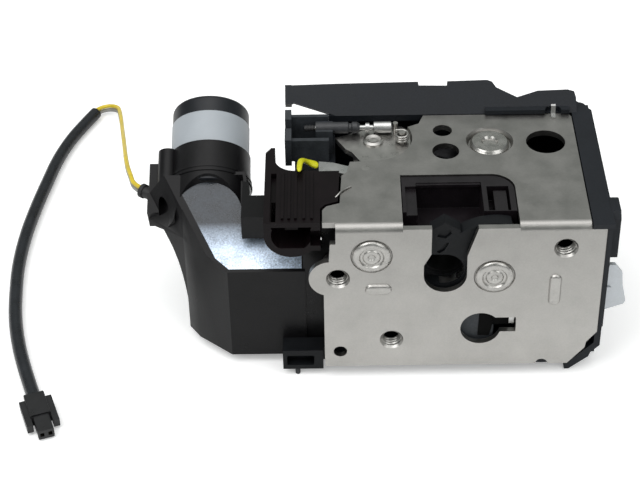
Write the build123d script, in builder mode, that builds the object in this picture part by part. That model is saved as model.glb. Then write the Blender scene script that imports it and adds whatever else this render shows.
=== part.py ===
from build123d import *
import os
from math import cos, hypot, radians, sin, sqrt, tan

os.makedirs("parts", exist_ok=True)

# Door latch actuator. X runs along the face plate, Y goes into the door and Z is up.
# While modelling, the origin is the lower left corner of the face plate's front.

# Sheet steel frame
SHEET = 2.2
FACE_W = 94.4
FACE_H = 61.7
TOP_LEFT = 0.0
TOP_RIGHT = 89.2
TOP_DEPTH = 64.4
BEND_R = 3.0
WINDOW_L = 26.8
WINDOW_R = 65.6
WINDOW_FRONT = 1.2
WINDOW_BACK = 28.8
WINDOW_R1 = 8.0
MOUTH_L = 36.4
MOUTH_R = 48.5
POCKET_X = 41.3
POCKET_Z = 40.8
POCKET_R = 7.3
THREADS = ((5.1, 39.8), (81.3, 51.8), (23.4, 12.1))
THREAD_CORE = 6.9
THREAD_ENTRY = 0.9
COLLAR_D = 10.8
COLLAR_LEN = 6.4
EAR_R = 7.4
KEY_X = 54.0
KEY_Z = 16.8
KEY_R = 6.9
KEY_SLOT_END = 66.2
KEY_SLOT_LOW = 15.2
KEY_SLOT_HIGH = 21.6

# Latch mechanism between the face plate and the inner plate
GAP = 0.3
RUN_GAP = 0.05
CLAW_X = 57.9
CLAW_Z = 40.0
PAWL_X = 16.4
PAWL_Z = 49.4
CLAW_Y = SHEET + 0.9
CLAW_T = 5.0
INNER_Y = CLAW_Y + CLAW_T + 0.7
INNER_T = 2.0
PIVOT_D = 8.0
TAIL_D = 6.0
RIVET_HEAD_D = 12.9
RIVET_PROUD = 0.9
DISH = 0.4
SPRING_ROOM = 5.8
BAR_R = 6.5
COAT = 1.2
SKIN = 0.8
PAWL_REACH = 21.5

# Release lever on the side plate
LEVER_X = 18.2
LEVER_Y = 51.3
LEVER_R = 13.2
LEVER_T = 2.0
LEVER_DROP = 1.7
POCKET_GAP = 0.6
ROD_Y = 56.5
ROD_R = 2.1
BUSH_R = 2.1

# Casing behind the frame
WALL = 2.2
CASE_L = 2.6
CASE_R = 96.4
CASE_FRONT = 11.4
CASE_BACK = 72.0
FLOOR_Z = -5.1
RIM_Z = 60.0
SKIRT_Y = SHEET + 0.4
COVER_SLOPE = 40.0
HOOD_RISE_Y = 64.6

# Outside handle lever
OUT_X = 82.0
OUT_Z = 24.0
OUT_Y = 6.0
OUT_T = 1.6

# Actuator
MOTOR_X = -40.3
MOTOR_Y = 65.1
MOTOR_Z = 50.0
MOTOR_TILT = 25.0
MOTOR_R = 13.85
MOTOR_FRONT = -21.4
CLAMP_FRONT = -19.5
MOTOR_BACK = 12.8
SLEEVE_R = 15.3
LID_T = 2.4
HOUSE_FRONT = 8.4
HOUSE_TOP = 36.4
HOUSE_FLOOR = -1.5
HOUSE_RIGHT = -6.2
WHEEL_R = 7.0
WORM_R = 3.0
WORM_FROM = -37.0
WORM_TO = -49.0
MESH_GAP = 0.3
ROUND_X = -39.8
ROUND_Y = 28.6
ROUND_R = 11.9
SCREW_AT = ((-14.7, -5.2), (14.7, 5.2))
SCREW_D = 2.5

# Cable
WIRE_D = 1.6
SLEEVE_D = 5.0

pieces = {}


def keep(name, builder):
    builder.part.label = name
    pieces[name] = builder.part


def front_plane(y):
    """Plane seen from the front at depth y: local x is X, local y is Z."""
    return Plane.XZ.offset(-y)


def side_plane(x):
    """Plane seen from the right at x: local x is Y, local y is Z."""
    return Plane.YZ.offset(x)


def motor_point(s, n, x=MOTOR_X):
    """Point s along the motor's axis and n above it, square to the axis."""
    tilt = radians(MOTOR_TILT)
    return (x, MOTOR_Y + s * cos(tilt) - n * sin(tilt), MOTOR_Z + s * sin(tilt) + n * cos(tilt))


def motor_plane(s):
    """Plane square to the motor's axis: local x is X, local y is down."""
    tilt = radians(MOTOR_TILT)
    return Plane(origin=motor_point(s, 0), x_dir=(1, 0, 0), z_dir=(0, cos(tilt), sin(tilt)))


def polygon(points, mode=Mode.ADD):
    Polygon(*points, align=None, mode=mode)


def at(x, z):
    """Polar helper: distance from the claw's pivot."""
    return hypot(x - CLAW_X, z - CLAW_Z)


# The L-shaped frame: the face plate, the bend and the side plate
BEND_TOP = FACE_H - BEND_R
TOP_LOW = FACE_H - SHEET
SHELF_TOP = FACE_H - LEVER_DROP - LEVER_T - GAP
ARC_R = LEVER_R + POCKET_GAP
with BuildPart() as latch_frame:
    with BuildSketch(front_plane(0)):
        polygon([(0.2, 0), (85.0, 0), (90.7, 7.3), (91.0, 9.8), (FACE_W, 14.4), (FACE_W, RIM_Z - GAP),
                 (TOP_RIGHT, RIM_Z - GAP), (TOP_RIGHT, BEND_TOP), (WINDOW_R, BEND_TOP),
                 (WINDOW_R, FACE_H - 1.1), (WINDOW_L, FACE_H - 1.1), (WINDOW_L, BEND_TOP),
                 (4.4, BEND_TOP), (4.4, 54.8), (2.5, 54.8), (2.0, 46.0), (0.2, 46.0)])
        with Locations((2.6, THREADS[0][1])):
            Circle(EAR_R)
        polygon([(MOUTH_L, FACE_H), (MOUTH_L, 49.9), (POCKET_X - POCKET_R, 45.1), (POCKET_X - POCKET_R, POCKET_Z),
                 (POCKET_X + POCKET_R, POCKET_Z), (MOUTH_R, 49.0), (52.2, FACE_H)], Mode.SUBTRACT)
        with Locations((POCKET_X, POCKET_Z)):
            Circle(POCKET_R, mode=Mode.SUBTRACT)
        with Locations((KEY_X, KEY_Z)):
            Circle(KEY_R, mode=Mode.SUBTRACT)
        with Locations(((KEY_X + KEY_SLOT_END) / 2, (KEY_SLOT_LOW + KEY_SLOT_HIGH) / 2)):
            Rectangle(KEY_SLOT_END - KEY_X, KEY_SLOT_HIGH - KEY_SLOT_LOW, mode=Mode.SUBTRACT)
        with Locations((76.0, 0)):
            Circle(2.1, mode=Mode.SUBTRACT)
        with Locations((5.6, 6.9)):
            Circle(2.35, mode=Mode.SUBTRACT)
    extrude(amount=-SHEET)
    for left, right in ((4.4, WINDOW_L), (WINDOW_R, TOP_RIGHT)):
        with BuildSketch(side_plane(left)):
            with Locations((BEND_R, BEND_TOP)):
                Circle(BEND_R)
                Circle(BEND_R - SHEET, mode=Mode.SUBTRACT)
            with Locations((BEND_R + 5, BEND_TOP)):
                Rectangle(10, 20, mode=Mode.SUBTRACT)
            with Locations((BEND_R, BEND_TOP - 5)):
                Rectangle(20, 10, mode=Mode.SUBTRACT)
        extrude(amount=right - left)
    with BuildSketch(Plane.XY.offset(TOP_LOW)):
        polygon([(4.4, BEND_R), (TOP_RIGHT, BEND_R), (TOP_RIGHT, TOP_DEPTH - 2), (TOP_RIGHT - 1, TOP_DEPTH),
                 (36.4, TOP_DEPTH), (34.6, TOP_DEPTH - 5), (LEVER_X, LEVER_Y), (LEVER_X - 1.2, 37.2),
                 (9.8, 37.0), (8.6, 31.0), (6.8, 29.0), (6.0, 13.6), (1.5, 11.9), (0.1, 9.8), (0.1, BEND_R)])
        with Locations((LEVER_X, LEVER_Y)):
            Circle(ARC_R, mode=Mode.SUBTRACT)
        window = [(WINDOW_L, 0), (WINDOW_R, 0), (WINDOW_R, WINDOW_BACK - WINDOW_R1),
                  (WINDOW_R - WINDOW_R1, WINDOW_BACK), (WINDOW_L, WINDOW_BACK)]
        with BuildLine():
            Line(window[0], window[1])
            Line(window[1], window[2])
            RadiusArc(window[2], window[3], -WINDOW_R1)
            Line(window[3], window[4])
            Line(window[4], window[0])
        make_face(mode=Mode.SUBTRACT)
        with Locations((42.8, 54.9)):
            Circle(3.4, mode=Mode.SUBTRACT)
        with Locations((43.3, 42.5)):
            Circle(4.7, mode=Mode.SUBTRACT)
        with Locations((78.5, 47.2)):
            Circle(6.85, mode=Mode.SUBTRACT)
    extrude(amount=SHEET)
    # sunken shelf that carries the release lever, joined to the side plate by its round wall
    with BuildSketch(Plane.XY.offset(SHELF_TOP - SHEET)):
        with Locations((LEVER_X, LEVER_Y)):
            Circle(ARC_R + SHEET)
        polygon([(11.5, 40.4), (17.0, 39.4), (20.0, 38.4), (20.2, 30), (40, 30), (40, TOP_DEPTH - 1),
                 (LEVER_X, TOP_DEPTH - 1), (10.5, LEVER_Y + 4)], Mode.INTERSECT)
    extrude(amount=SHEET)
    with BuildSketch(Plane.XY.offset(SHELF_TOP)):
        with Locations((LEVER_X, LEVER_Y)):
            Circle(ARC_R + SHEET)
            Circle(ARC_R, mode=Mode.SUBTRACT)
        polygon([(20.2, LEVER_Y), (20.2, 30), (45, 30), (45, LEVER_Y + 9)], Mode.INTERSECT)
    extrude(amount=TOP_LOW - SHELF_TOP)
    # drawn collars for the three fixing threads
    for x, z in THREADS:
        with BuildSketch(front_plane(SHEET)):
            with Locations((x, z)):
                Circle(COLLAR_D / 2)
        extrude(amount=-COLLAR_LEN)
        with BuildSketch(front_plane(0)):
            with Locations((x, z)):
                Circle(THREAD_CORE / 2)
        extrude(amount=-(SHEET + COLLAR_LEN), mode=Mode.SUBTRACT)
        with BuildSketch(front_plane(0)):
            with Locations((x, z)):
                Circle(THREAD_CORE / 2 + 0.63)
        extrude(amount=-THREAD_ENTRY, taper=35, mode=Mode.SUBTRACT)
    # pivot holes and the shallow dishes of the two rivets
    for x, z in ((CLAW_X, CLAW_Z), (PAWL_X, PAWL_Z)):
        with BuildSketch(front_plane(0)):
            with Locations((x, z)):
                Circle(PIVOT_D / 2)
        extrude(amount=-SHEET, mode=Mode.SUBTRACT)
        with BuildSketch(front_plane(0)):
            with Locations((x, z)):
                Circle(RIVET_HEAD_D / 2 + 0.6)
        extrude(amount=-DISH, taper=40, mode=Mode.SUBTRACT)
    # pressed stiffening beads
    with BuildSketch(front_plane(0)):
        with Locations((18.8, 34.9)):
            SlotOverall(9.2, 4.6)
        with Locations((78.6, 33.8)):
            SlotOverall(13.4, 4.2, rotation=90)
    extrude(amount=0.7, taper=30)
    # dished seat of the side rivet
    with BuildSketch(Plane.XY.offset(TOP_LOW - 1.4)):
        with Locations((59.0, 48.2)):
            Circle(8.6)
    extrude(amount=1.4, taper=-20)
    with BuildSketch(Plane.XY.offset(FACE_H)):
        with Locations((59.0, 48.2)):
            Circle(8.3)
    extrude(amount=-1.9, taper=25, mode=Mode.SUBTRACT)
    with BuildSketch(Plane.XY.offset(FACE_H)):
        with Locations((59.0, 48.2)):
            Circle(TAIL_D / 2)
        with Locations((15.1, 33.4)):
            Circle(1.5)
        with Locations((LEVER_X, LEVER_Y)):
            Circle(2.5)
    extrude(amount=-12, mode=Mode.SUBTRACT)
keep("latch_frame", latch_frame)

INNER_BACK = INNER_Y + INNER_T
TAIL_END = INNER_BACK + SPRING_ROOM


def pivot_rivet(x, z):
    """Stepped pivot riveted through the face plate and the inner plate."""
    with BuildPart() as rivet:
        with BuildSketch(Plane.XY):
            with BuildLine():
                head = RIVET_HEAD_D / 2
                ring = head * 0.56
                pivot = PIVOT_D / 2
                tail = TAIL_D / 2
                Polyline((0, -0.25), (ring - 0.5, -0.25), (ring, -RIVET_PROUD), (head - 1.3, -RIVET_PROUD),
                         (head, -0.15), (head, DISH - 0.05), (pivot, DISH), (pivot, INNER_Y), (tail, INNER_Y),
                         (tail, TAIL_END), (tail + 1.6, TAIL_END), (tail + 1.2, TAIL_END + 1.2),
                         (0, TAIL_END + 1.2), close=True)
            make_face()
        revolve(axis=Axis.Y)
    rivet.part = Pos(x, 0, z) * rivet.part
    return rivet


claw_rivet = pivot_rivet(CLAW_X, CLAW_Z)
keep("claw_rivet", claw_rivet)
pawl_rivet = pivot_rivet(PAWL_X, PAWL_Z)
keep("pawl_rivet", pawl_rivet)

# Inner plate that carries the far ends of both pivots
with BuildPart() as inner_plate:
    with BuildSketch(front_plane(INNER_Y)):
        polygon([(8, 26), (18, 22), (66, 22), (74, 30), (74, 56), (67.5, 56), (66, 47.2), (50, 47.2),
                 (33, 47.2), (26, 47.2), (25, 58), (8, 58)])
        with Locations((POCKET_X, POCKET_Z + 6)):
            Rectangle(2 * POCKET_R + 1, 14, mode=Mode.SUBTRACT)
        with Locations((POCKET_X, POCKET_Z)):
            Circle(POCKET_R + 0.5, mode=Mode.SUBTRACT)
        with Locations((CLAW_X, CLAW_Z), (PAWL_X, PAWL_Z)):
            Circle(TAIL_D / 2, mode=Mode.SUBTRACT)
    extrude(amount=-INNER_T)
keep("inner_plate", inner_plate)

# Claw: a steel fork with a moulded coat, seen closed round the striker's place
TOOTH_R = PAWL_REACH + 0.4


def tooth_z(x):
    """Height of the tooth's face, an arc about the pawl's pivot."""
    return PAWL_Z - sqrt(TOOTH_R ** 2 - (x - PAWL_X) ** 2)


def claw_outline():
    """Face of the fork, for the sketch that is open."""
    top_r = 20.2
    with BuildLine() as outline:
        p1 = (POCKET_X, POCKET_Z + BAR_R)
        p2 = (37.4, 47.4)
        p3 = (37.2, 56.5)
        p4 = (41.0, 59.6)
        p5 = (CLAW_X + top_r * cos(radians(126)), CLAW_Z + top_r * sin(radians(126)))
        p6 = (CLAW_X + top_r * cos(radians(75)), CLAW_Z + top_r * sin(radians(75)))
        p7 = (67.4, 47.0)
        p8 = (66.9, 35.5)
        p9 = (60.0, 29.5)
        p10 = (48.0, 26.2)
        p11 = (28.4, 26.6)
        p12 = (27.8, tooth_z(27.8))
        p13 = (31.5, tooth_z(31.5))
        p14 = (35.5, POCKET_Z - BAR_R)
        p15 = (POCKET_X, POCKET_Z - BAR_R)
        Polyline(p1, p2, p3, p4, p5)
        RadiusArc(p5, p6, top_r)
        Polyline(p6, p7, p8, p9, p10, p11, p12)
        RadiusArc(p12, p13, -TOOTH_R)
        Polyline(p13, p14, p15)
        RadiusArc(p15, p1, -BAR_R)
    make_face(outline.edges())


with BuildPart() as claw:
    with BuildSketch(front_plane(CLAW_Y + SKIN)):
        claw_outline()
    extrude(amount=-(CLAW_T - 2 * SKIN))
    with BuildSketch(front_plane(CLAW_Y)):
        with Locations((CLAW_X, CLAW_Z)):
            Circle(7.0)
    extrude(amount=-CLAW_T)
    with BuildSketch(front_plane(CLAW_Y)):
        with Locations((CLAW_X, CLAW_Z)):
            Circle(PIVOT_D / 2 + RUN_GAP)
    extrude(amount=-CLAW_T, mode=Mode.SUBTRACT)
keep("claw", claw)

with BuildPart() as claw_coat:
    with BuildSketch(front_plane(CLAW_Y)):
        claw_outline()
    extrude(amount=-SKIN)
    with BuildSketch(front_plane(CLAW_Y + CLAW_T - SKIN)):
        claw_outline()
    extrude(amount=-SKIN)
    # rim round the hook's top, which joins the two skins
    with BuildSketch(front_plane(CLAW_Y)):
        polygon([(37.2 - COAT, 47.4), (37.2 - COAT, 57.2), (40.8, 60.9), (46.2, 57.4), (46.0, 56.4), (41.0, 59.6),
                 (37.2, 56.5), (37.4, 47.4)])
    extrude(amount=-CLAW_T)
    with BuildSketch(front_plane(CLAW_Y)):
        with Locations((CLAW_X, CLAW_Z)):
            Circle(7.0)
        polygon([(24, 20), (36.5, 20), (36.5, 36), (24, 36)])
    extrude(amount=-CLAW_T, mode=Mode.SUBTRACT)
    # windows in the front skin where the steel shows
    with BuildSketch(front_plane(CLAW_Y)):
        polygon([(38.3, 55.0), (41.2, 54.2), (43.2, 56.2), (42.8, 57.9), (39.4, 57.6)])
        polygon([(38.3, 48.4), (41.4, 52.4), (42.4, 52.2), (41.0, 49.2), (39.4, 47.9)])
    extrude(amount=-SKIN, mode=Mode.SUBTRACT)
keep("claw_coat", claw_coat)

# Pawl: its nose is an arc about its own pivot, drawn off the claw's tooth
PAWL_FROM = -86.0
PAWL_TO = -64.5
with BuildPart() as pawl:
    with BuildSketch(front_plane(CLAW_Y + SKIN)):
        with Locations((PAWL_X, PAWL_Z)):
            Circle(6.8)
        with BuildLine():
            n1 = (PAWL_X + PAWL_REACH * cos(radians(PAWL_FROM)), PAWL_Z + PAWL_REACH * sin(radians(PAWL_FROM)))
            n2 = (PAWL_X + PAWL_REACH * cos(radians(PAWL_TO)), PAWL_Z + PAWL_REACH * sin(radians(PAWL_TO)))
            h1 = (PAWL_X - 4.2, PAWL_Z - 4.0)
            h2 = (PAWL_X + 5.0, PAWL_Z - 2.0)
            RadiusArc(n1, n2, -PAWL_REACH)
            Line(n2, h2)
            Line(h2, h1)
            Line(h1, n1)
        make_face()
        polygon([(PAWL_X - 2, PAWL_Z + 6.4), (6.2, 56.4), (5.4, 52.4), (PAWL_X - 6.5, PAWL_Z - 1.6)])
        with Locations((PAWL_X, PAWL_Z)):
            Circle(PIVOT_D / 2 + RUN_GAP, mode=Mode.SUBTRACT)
    extrude(amount=-(CLAW_T - 2 * SKIN))
keep("pawl", pawl)


def torsion_spring(x, z, leg_x, leg_z):
    """Close-wound torsion spring behind the inner plate, round a pivot's tail."""
    wire = 1.1
    coil_r = TAIL_D / 2 + 0.5 + wire / 2
    turns = 3
    pitch = wire + 0.12
    start_y = INNER_BACK + 0.5 + wire / 2
    with BuildPart() as spring:
        with BuildLine():
            path = Helix(pitch=pitch, height=pitch * turns, radius=coil_r)
        with BuildSketch(Plane(origin=path @ 0, z_dir=path % 0)):
            Circle(wire / 2)
        sweep(path=path)
        with BuildSketch(Plane(origin=path @ 1, z_dir=path % 1)):
            Circle(wire / 2)
        extrude(amount=hypot(leg_x - x, leg_z - z))
        with BuildSketch(Plane(origin=path @ 0, z_dir=path % 0)):
            Circle(wire / 2)
        extrude(amount=-6)
    spring.part = Pos(x, start_y, z) * Rot(-90, 0, 0) * spring.part
    return spring


claw_spring = torsion_spring(CLAW_X, CLAW_Z, CLAW_X + 8, CLAW_Z)
keep("claw_spring", claw_spring)
pawl_spring = torsion_spring(PAWL_X, PAWL_Z, PAWL_X + 6, PAWL_Z)
keep("pawl_spring", pawl_spring)

# Plastic lining of the striker's window
INSERT_Y = INNER_Y
INSERT_LOW = 48.0
INSERT_TOP = FACE_H - 0.5
with BuildPart() as mouth_insert:
    with BuildSketch(Plane.XY.offset(INSERT_LOW)):
        left = WINDOW_L + GAP
        right = WINDOW_R - GAP
        back = WINDOW_BACK - GAP
        with BuildLine():
            Line((left, INSERT_Y), (right, INSERT_Y))
            Line((right, INSERT_Y), (right, back - WINDOW_R1))
            RadiusArc((right, back - WINDOW_R1), (right - WINDOW_R1, back), -WINDOW_R1)
            Line((right - WINDOW_R1, back), (left, back))
            Line((left, back), (left, INSERT_Y))
        make_face()
    extrude(amount=INSERT_TOP - INSERT_LOW)
    with BuildSketch(Plane.XY.offset(INSERT_LOW + WALL)):
        with Locations(((33.4 + 55.0) / 2, (INSERT_Y + 25.0) / 2)):
            Rectangle(55.0 - 33.4, 25.0 - INSERT_Y)
    extrude(amount=20, mode=Mode.SUBTRACT)
    with BuildSketch(Plane.XY.offset(INSERT_LOW + 7)):
        with Locations((60.2, 15.6)):
            RectangleRounded(6.4, 12.6, 1)
        with Locations((30.2, 16.0)):
            RectangleRounded(2.6, 10.0, 1)
    extrude(amount=20, mode=Mode.SUBTRACT)
    with BuildSketch(Plane.XY.offset(INSERT_LOW + 6.9)):
        with Locations((61.0, 15.2)):
            Rectangle(3.6, 9.4)
    extrude(amount=5.0)
    with BuildSketch(Plane.XY.offset(INSERT_TOP - 1.6)):
        with Locations(((33.4 + 55.0) / 2, 24.6)):
            Rectangle(55.0 - 33.4 - 5, 1.4)
    extrude(amount=1.2)
keep("mouth_insert", mouth_insert)

# Rubber stop under the striker's place
with BuildPart() as striker_buffer:
    with BuildSketch(front_plane(INNER_BACK + GAP)):
        with Locations((POCKET_X, 32.6)):
            RectangleRounded(14.0, 12.0, 2)
        with Locations((POCKET_X, POCKET_Z)):
            Circle(BAR_R + 0.5, mode=Mode.SUBTRACT)
    extrude(amount=-9)
keep("striker_buffer", striker_buffer)

# Release lever in the sunken pocket, its rivet and its return spring
LEVER_LOW = SHELF_TOP + GAP
LEVER_TOP = LEVER_LOW + LEVER_T
TAB_X = 26.2
STUD_X = 28.4
STUD_Y = 51.0
with BuildPart() as release_lever:
    with BuildSketch(Plane.XY.offset(LEVER_LOW)):
        with BuildLine():
            a1 = (LEVER_X - 4.4, LEVER_Y - 12.4)
            a2 = (LEVER_X + LEVER_R, LEVER_Y)
            RadiusArc(a1, a2, -LEVER_R)
            Polyline(a2, (31.0, 55.4), (24.6, 57.6), (15.0, 58.2), (4.8, 53.8), (8.3, 47.2), (10.6, 45.0), a1)
        make_face()
        with Locations((LEVER_X, LEVER_Y)):
            Circle(2.5 + RUN_GAP, mode=Mode.SUBTRACT)
    extrude(amount=LEVER_T)
    with BuildSketch(Plane.XY.offset(LEVER_TOP)):
        with Locations((TAB_X, ROD_Y)):
            Circle(0.9)
        with Locations((STUD_X, STUD_Y)):
            Circle(1.2)
    extrude(amount=4.2)
keep("release_lever", release_lever)

with BuildPart() as lever_rivet:
    with BuildSketch(Plane.XZ):
        with BuildLine():
            low = SHELF_TOP - SHEET
            Polyline((0, low - 1.2), (3.6, low - 1.2), (3.8, low), (2.5, low), (2.5, LEVER_TOP),
                     (3.5, LEVER_TOP), (3.5, LEVER_TOP + 0.6), (2.6, LEVER_TOP + 1.1),
                     (1.4, LEVER_TOP + 0.7), (0, LEVER_TOP + 0.7), close=True)
        make_face()
    revolve(axis=Axis.Z)
lever_rivet.part = Pos(LEVER_X, LEVER_Y, 0) * lever_rivet.part
keep("lever_rivet", lever_rivet)

with BuildPart() as lever_spring:
    with BuildLine():
        coil = Helix(pitch=0.95, height=2.85, radius=2.0)
    with BuildSketch(Plane(origin=coil @ 0, z_dir=coil % 0)):
        Circle(0.4)
    sweep(path=coil)
    with BuildSketch(Plane(origin=coil @ 1, z_dir=coil % 1)):
        Circle(0.4)
    extrude(amount=2.0)
    with BuildSketch(Plane(origin=coil @ 0, z_dir=coil % 0)):
        Circle(0.4)
    extrude(amount=-2.4)
lever_spring.part = Pos(STUD_X, STUD_Y, LEVER_TOP + 0.75) * Rot(0, 0, 100) * lever_spring.part
keep("lever_spring", lever_spring)

# Side rivet in its dish, with the transfer lever that it carries under the side plate
with BuildPart() as side_rivet:
    with BuildSketch(Plane.XZ):
        with BuildLine():
            seat = FACE_H - 1.9
            Polyline((0, 50.4), (4.6, 50.4), (4.6, 51.6), (TAIL_D / 2, 51.6), (TAIL_D / 2, seat), (6.9, seat),
                     (6.9, seat + 0.9), (6.1, seat + 1.9), (3.0, seat + 1.9), (2.4, seat + 1.0),
                     (0, seat + 1.0), close=True)
        make_face()
    revolve(axis=Axis.Z)
side_rivet.part = Pos(59.0, 48.2, 0) * side_rivet.part
keep("side_rivet", side_rivet)

with BuildPart() as transfer_lever:
    with BuildSketch(Plane.XY.offset(51.8)):
        with Locations((59.0, 48.2)):
            Circle(6.5)
        with BuildLine():
            Polyline((61, 42.6), (56.6, 54.2), (40.0, 58.4), (36.4, 55.4), (38.0, 51.8), close=True)
        make_face()
        with Locations((59.0, 48.2)):
            Circle(TAIL_D / 2 + RUN_GAP, mode=Mode.SUBTRACT)
        with Locations((40.4, 55.0)):
            SlotOverall(4.6, 2.2, rotation=30, mode=Mode.SUBTRACT)
    extrude(amount=2.0)
keep("transfer_lever", transfer_lever)

# Cable end: holder, bush and pull rod
HOLDER_L = -12.9
ROD_Z = LEVER_TOP + GAP + ROD_R
with BuildPart() as cable_holder:
    with BuildSketch(side_plane(HOLDER_L)):
        polygon([(49.6, 53.0), (62.2, 53.0), (62.2, 64.4), (60.6, 64.4), (60.6, 55.0), (51.4, 55.0),
                 (51.4, 61.8), (49.6, 61.8)])
    extrude(amount=CASE_L - HOLDER_L)
    with BuildSketch(side_plane(-9.6)):
        polygon([(49.6, 46.0), (51.4, 46.0), (51.4, 54.0), (49.6, 54.0)])
    extrude(amount=CASE_L + 9.6)
    with BuildSketch(side_plane(HOLDER_L)):
        polygon([(48.4, 52.0), (63.6, 52.0), (63.6, 65.6), (48.4, 63.0)])
        with Locations((ROD_Y, ROD_Z + 3)):
            Rectangle(4.4, 12, mode=Mode.SUBTRACT)
    extrude(amount=2.3)
    # cradle for the bush
    with BuildSketch(side_plane(-2.0)):
        polygon([(53.4, 53.0), (59.8, 53.0), (59.8, 63.0), (53.4, 63.0)])
        with Locations((ROD_Y, ROD_Z)):
            Circle(BUSH_R, mode=Mode.SUBTRACT)
    extrude(amount=6.0)
keep("cable_holder", cable_holder)

with BuildPart() as cable_bush:
    with BuildSketch(Plane.XY):
        with BuildLine():
            inner = 0.9 + RUN_GAP
            Polyline((inner, -2.0), (BUSH_R, -2.0), (BUSH_R, 9.4), (1.6, 9.8), (1.6, 10.6), (BUSH_R, 11.0),
                     (BUSH_R, 12.6), (1.5, 13.6), (inner, 13.6), close=True)
        make_face()
    revolve(axis=Axis.Y)
cable_bush.part = Pos(0, ROD_Y, ROD_Z) * Rot(0, 0, -90) * cable_bush.part
keep("cable_bush", cable_bush)

ROD_END = TAB_X - 0.9 - GAP
with BuildPart() as pull_rod:
    with BuildSketch(Plane.XY):
        with BuildLine():
            Polyline((0, -6.0), (0.9, -6.0), (0.9, 15.6), (1.7, 15.6), (1.7, 17.0), (0.9, 17.0), (0.9, 18.2),
                     (ROD_R, 18.6), (ROD_R, ROD_END - 0.4), (ROD_R - 0.4, ROD_END), (0, ROD_END), close=True)
        make_face()
    revolve(axis=Axis.Y)
pull_rod.part = Pos(0, ROD_Y, ROD_Z) * Rot(0, 0, -90) * pull_rod.part
keep("pull_rod", pull_rod)

# Yellow-tipped lever under the side plate's left edge
YEL_X = 15.1
YEL_Y = 33.4
YEL_LOW = 57.0
YEL_T = 1.8
with BuildPart() as lock_lever:
    with BuildSketch(Plane.XY.offset(YEL_LOW)):
        with Locations((YEL_X, YEL_Y)):
            Circle(3.6)
        polygon([(YEL_X - 1.6, YEL_Y - 3.2), (YEL_X + 1.6, YEL_Y + 3.2), (8.6, 38.6), (4.0, 40.6), (-1.0, 41.4),
                 (-1.0, 35.8), (4.0, 35.4), (9.4, 33.4)])
        with Locations((YEL_X, YEL_Y)):
            Circle(1.5 + RUN_GAP, mode=Mode.SUBTRACT)
    extrude(amount=YEL_T)
keep("lock_lever", lock_lever)

with BuildPart() as lever_cap:
    with BuildSketch(Plane.XY.offset(YEL_LOW - 0.3)):
        polygon([(-1.0, 35.5), (-1.0, 41.7), (-3.6, 41.6), (-7.2, 39.4), (-9.6, 36.6), (-9.6, 34.6), (-7.0, 34.6),
                 (-6.2, 36.0), (-4.6, 36.0)])
    extrude(amount=YEL_T + 0.6)
keep("lever_cap", lever_cap)

with BuildPart() as lock_lever_pin:
    with BuildSketch(Plane.XZ):
        with BuildLine():
            Polyline((0, 55.4), (2.6, 55.4), (2.6, 56.6), (1.5, 56.6), (1.5, FACE_H), (0, FACE_H), close=True)
        make_face()
    revolve(axis=Axis.Z)
lock_lever_pin.part = Pos(YEL_X, YEL_Y, 0) * lock_lever_pin.part
keep("lock_lever_pin", lock_lever_pin)

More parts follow.
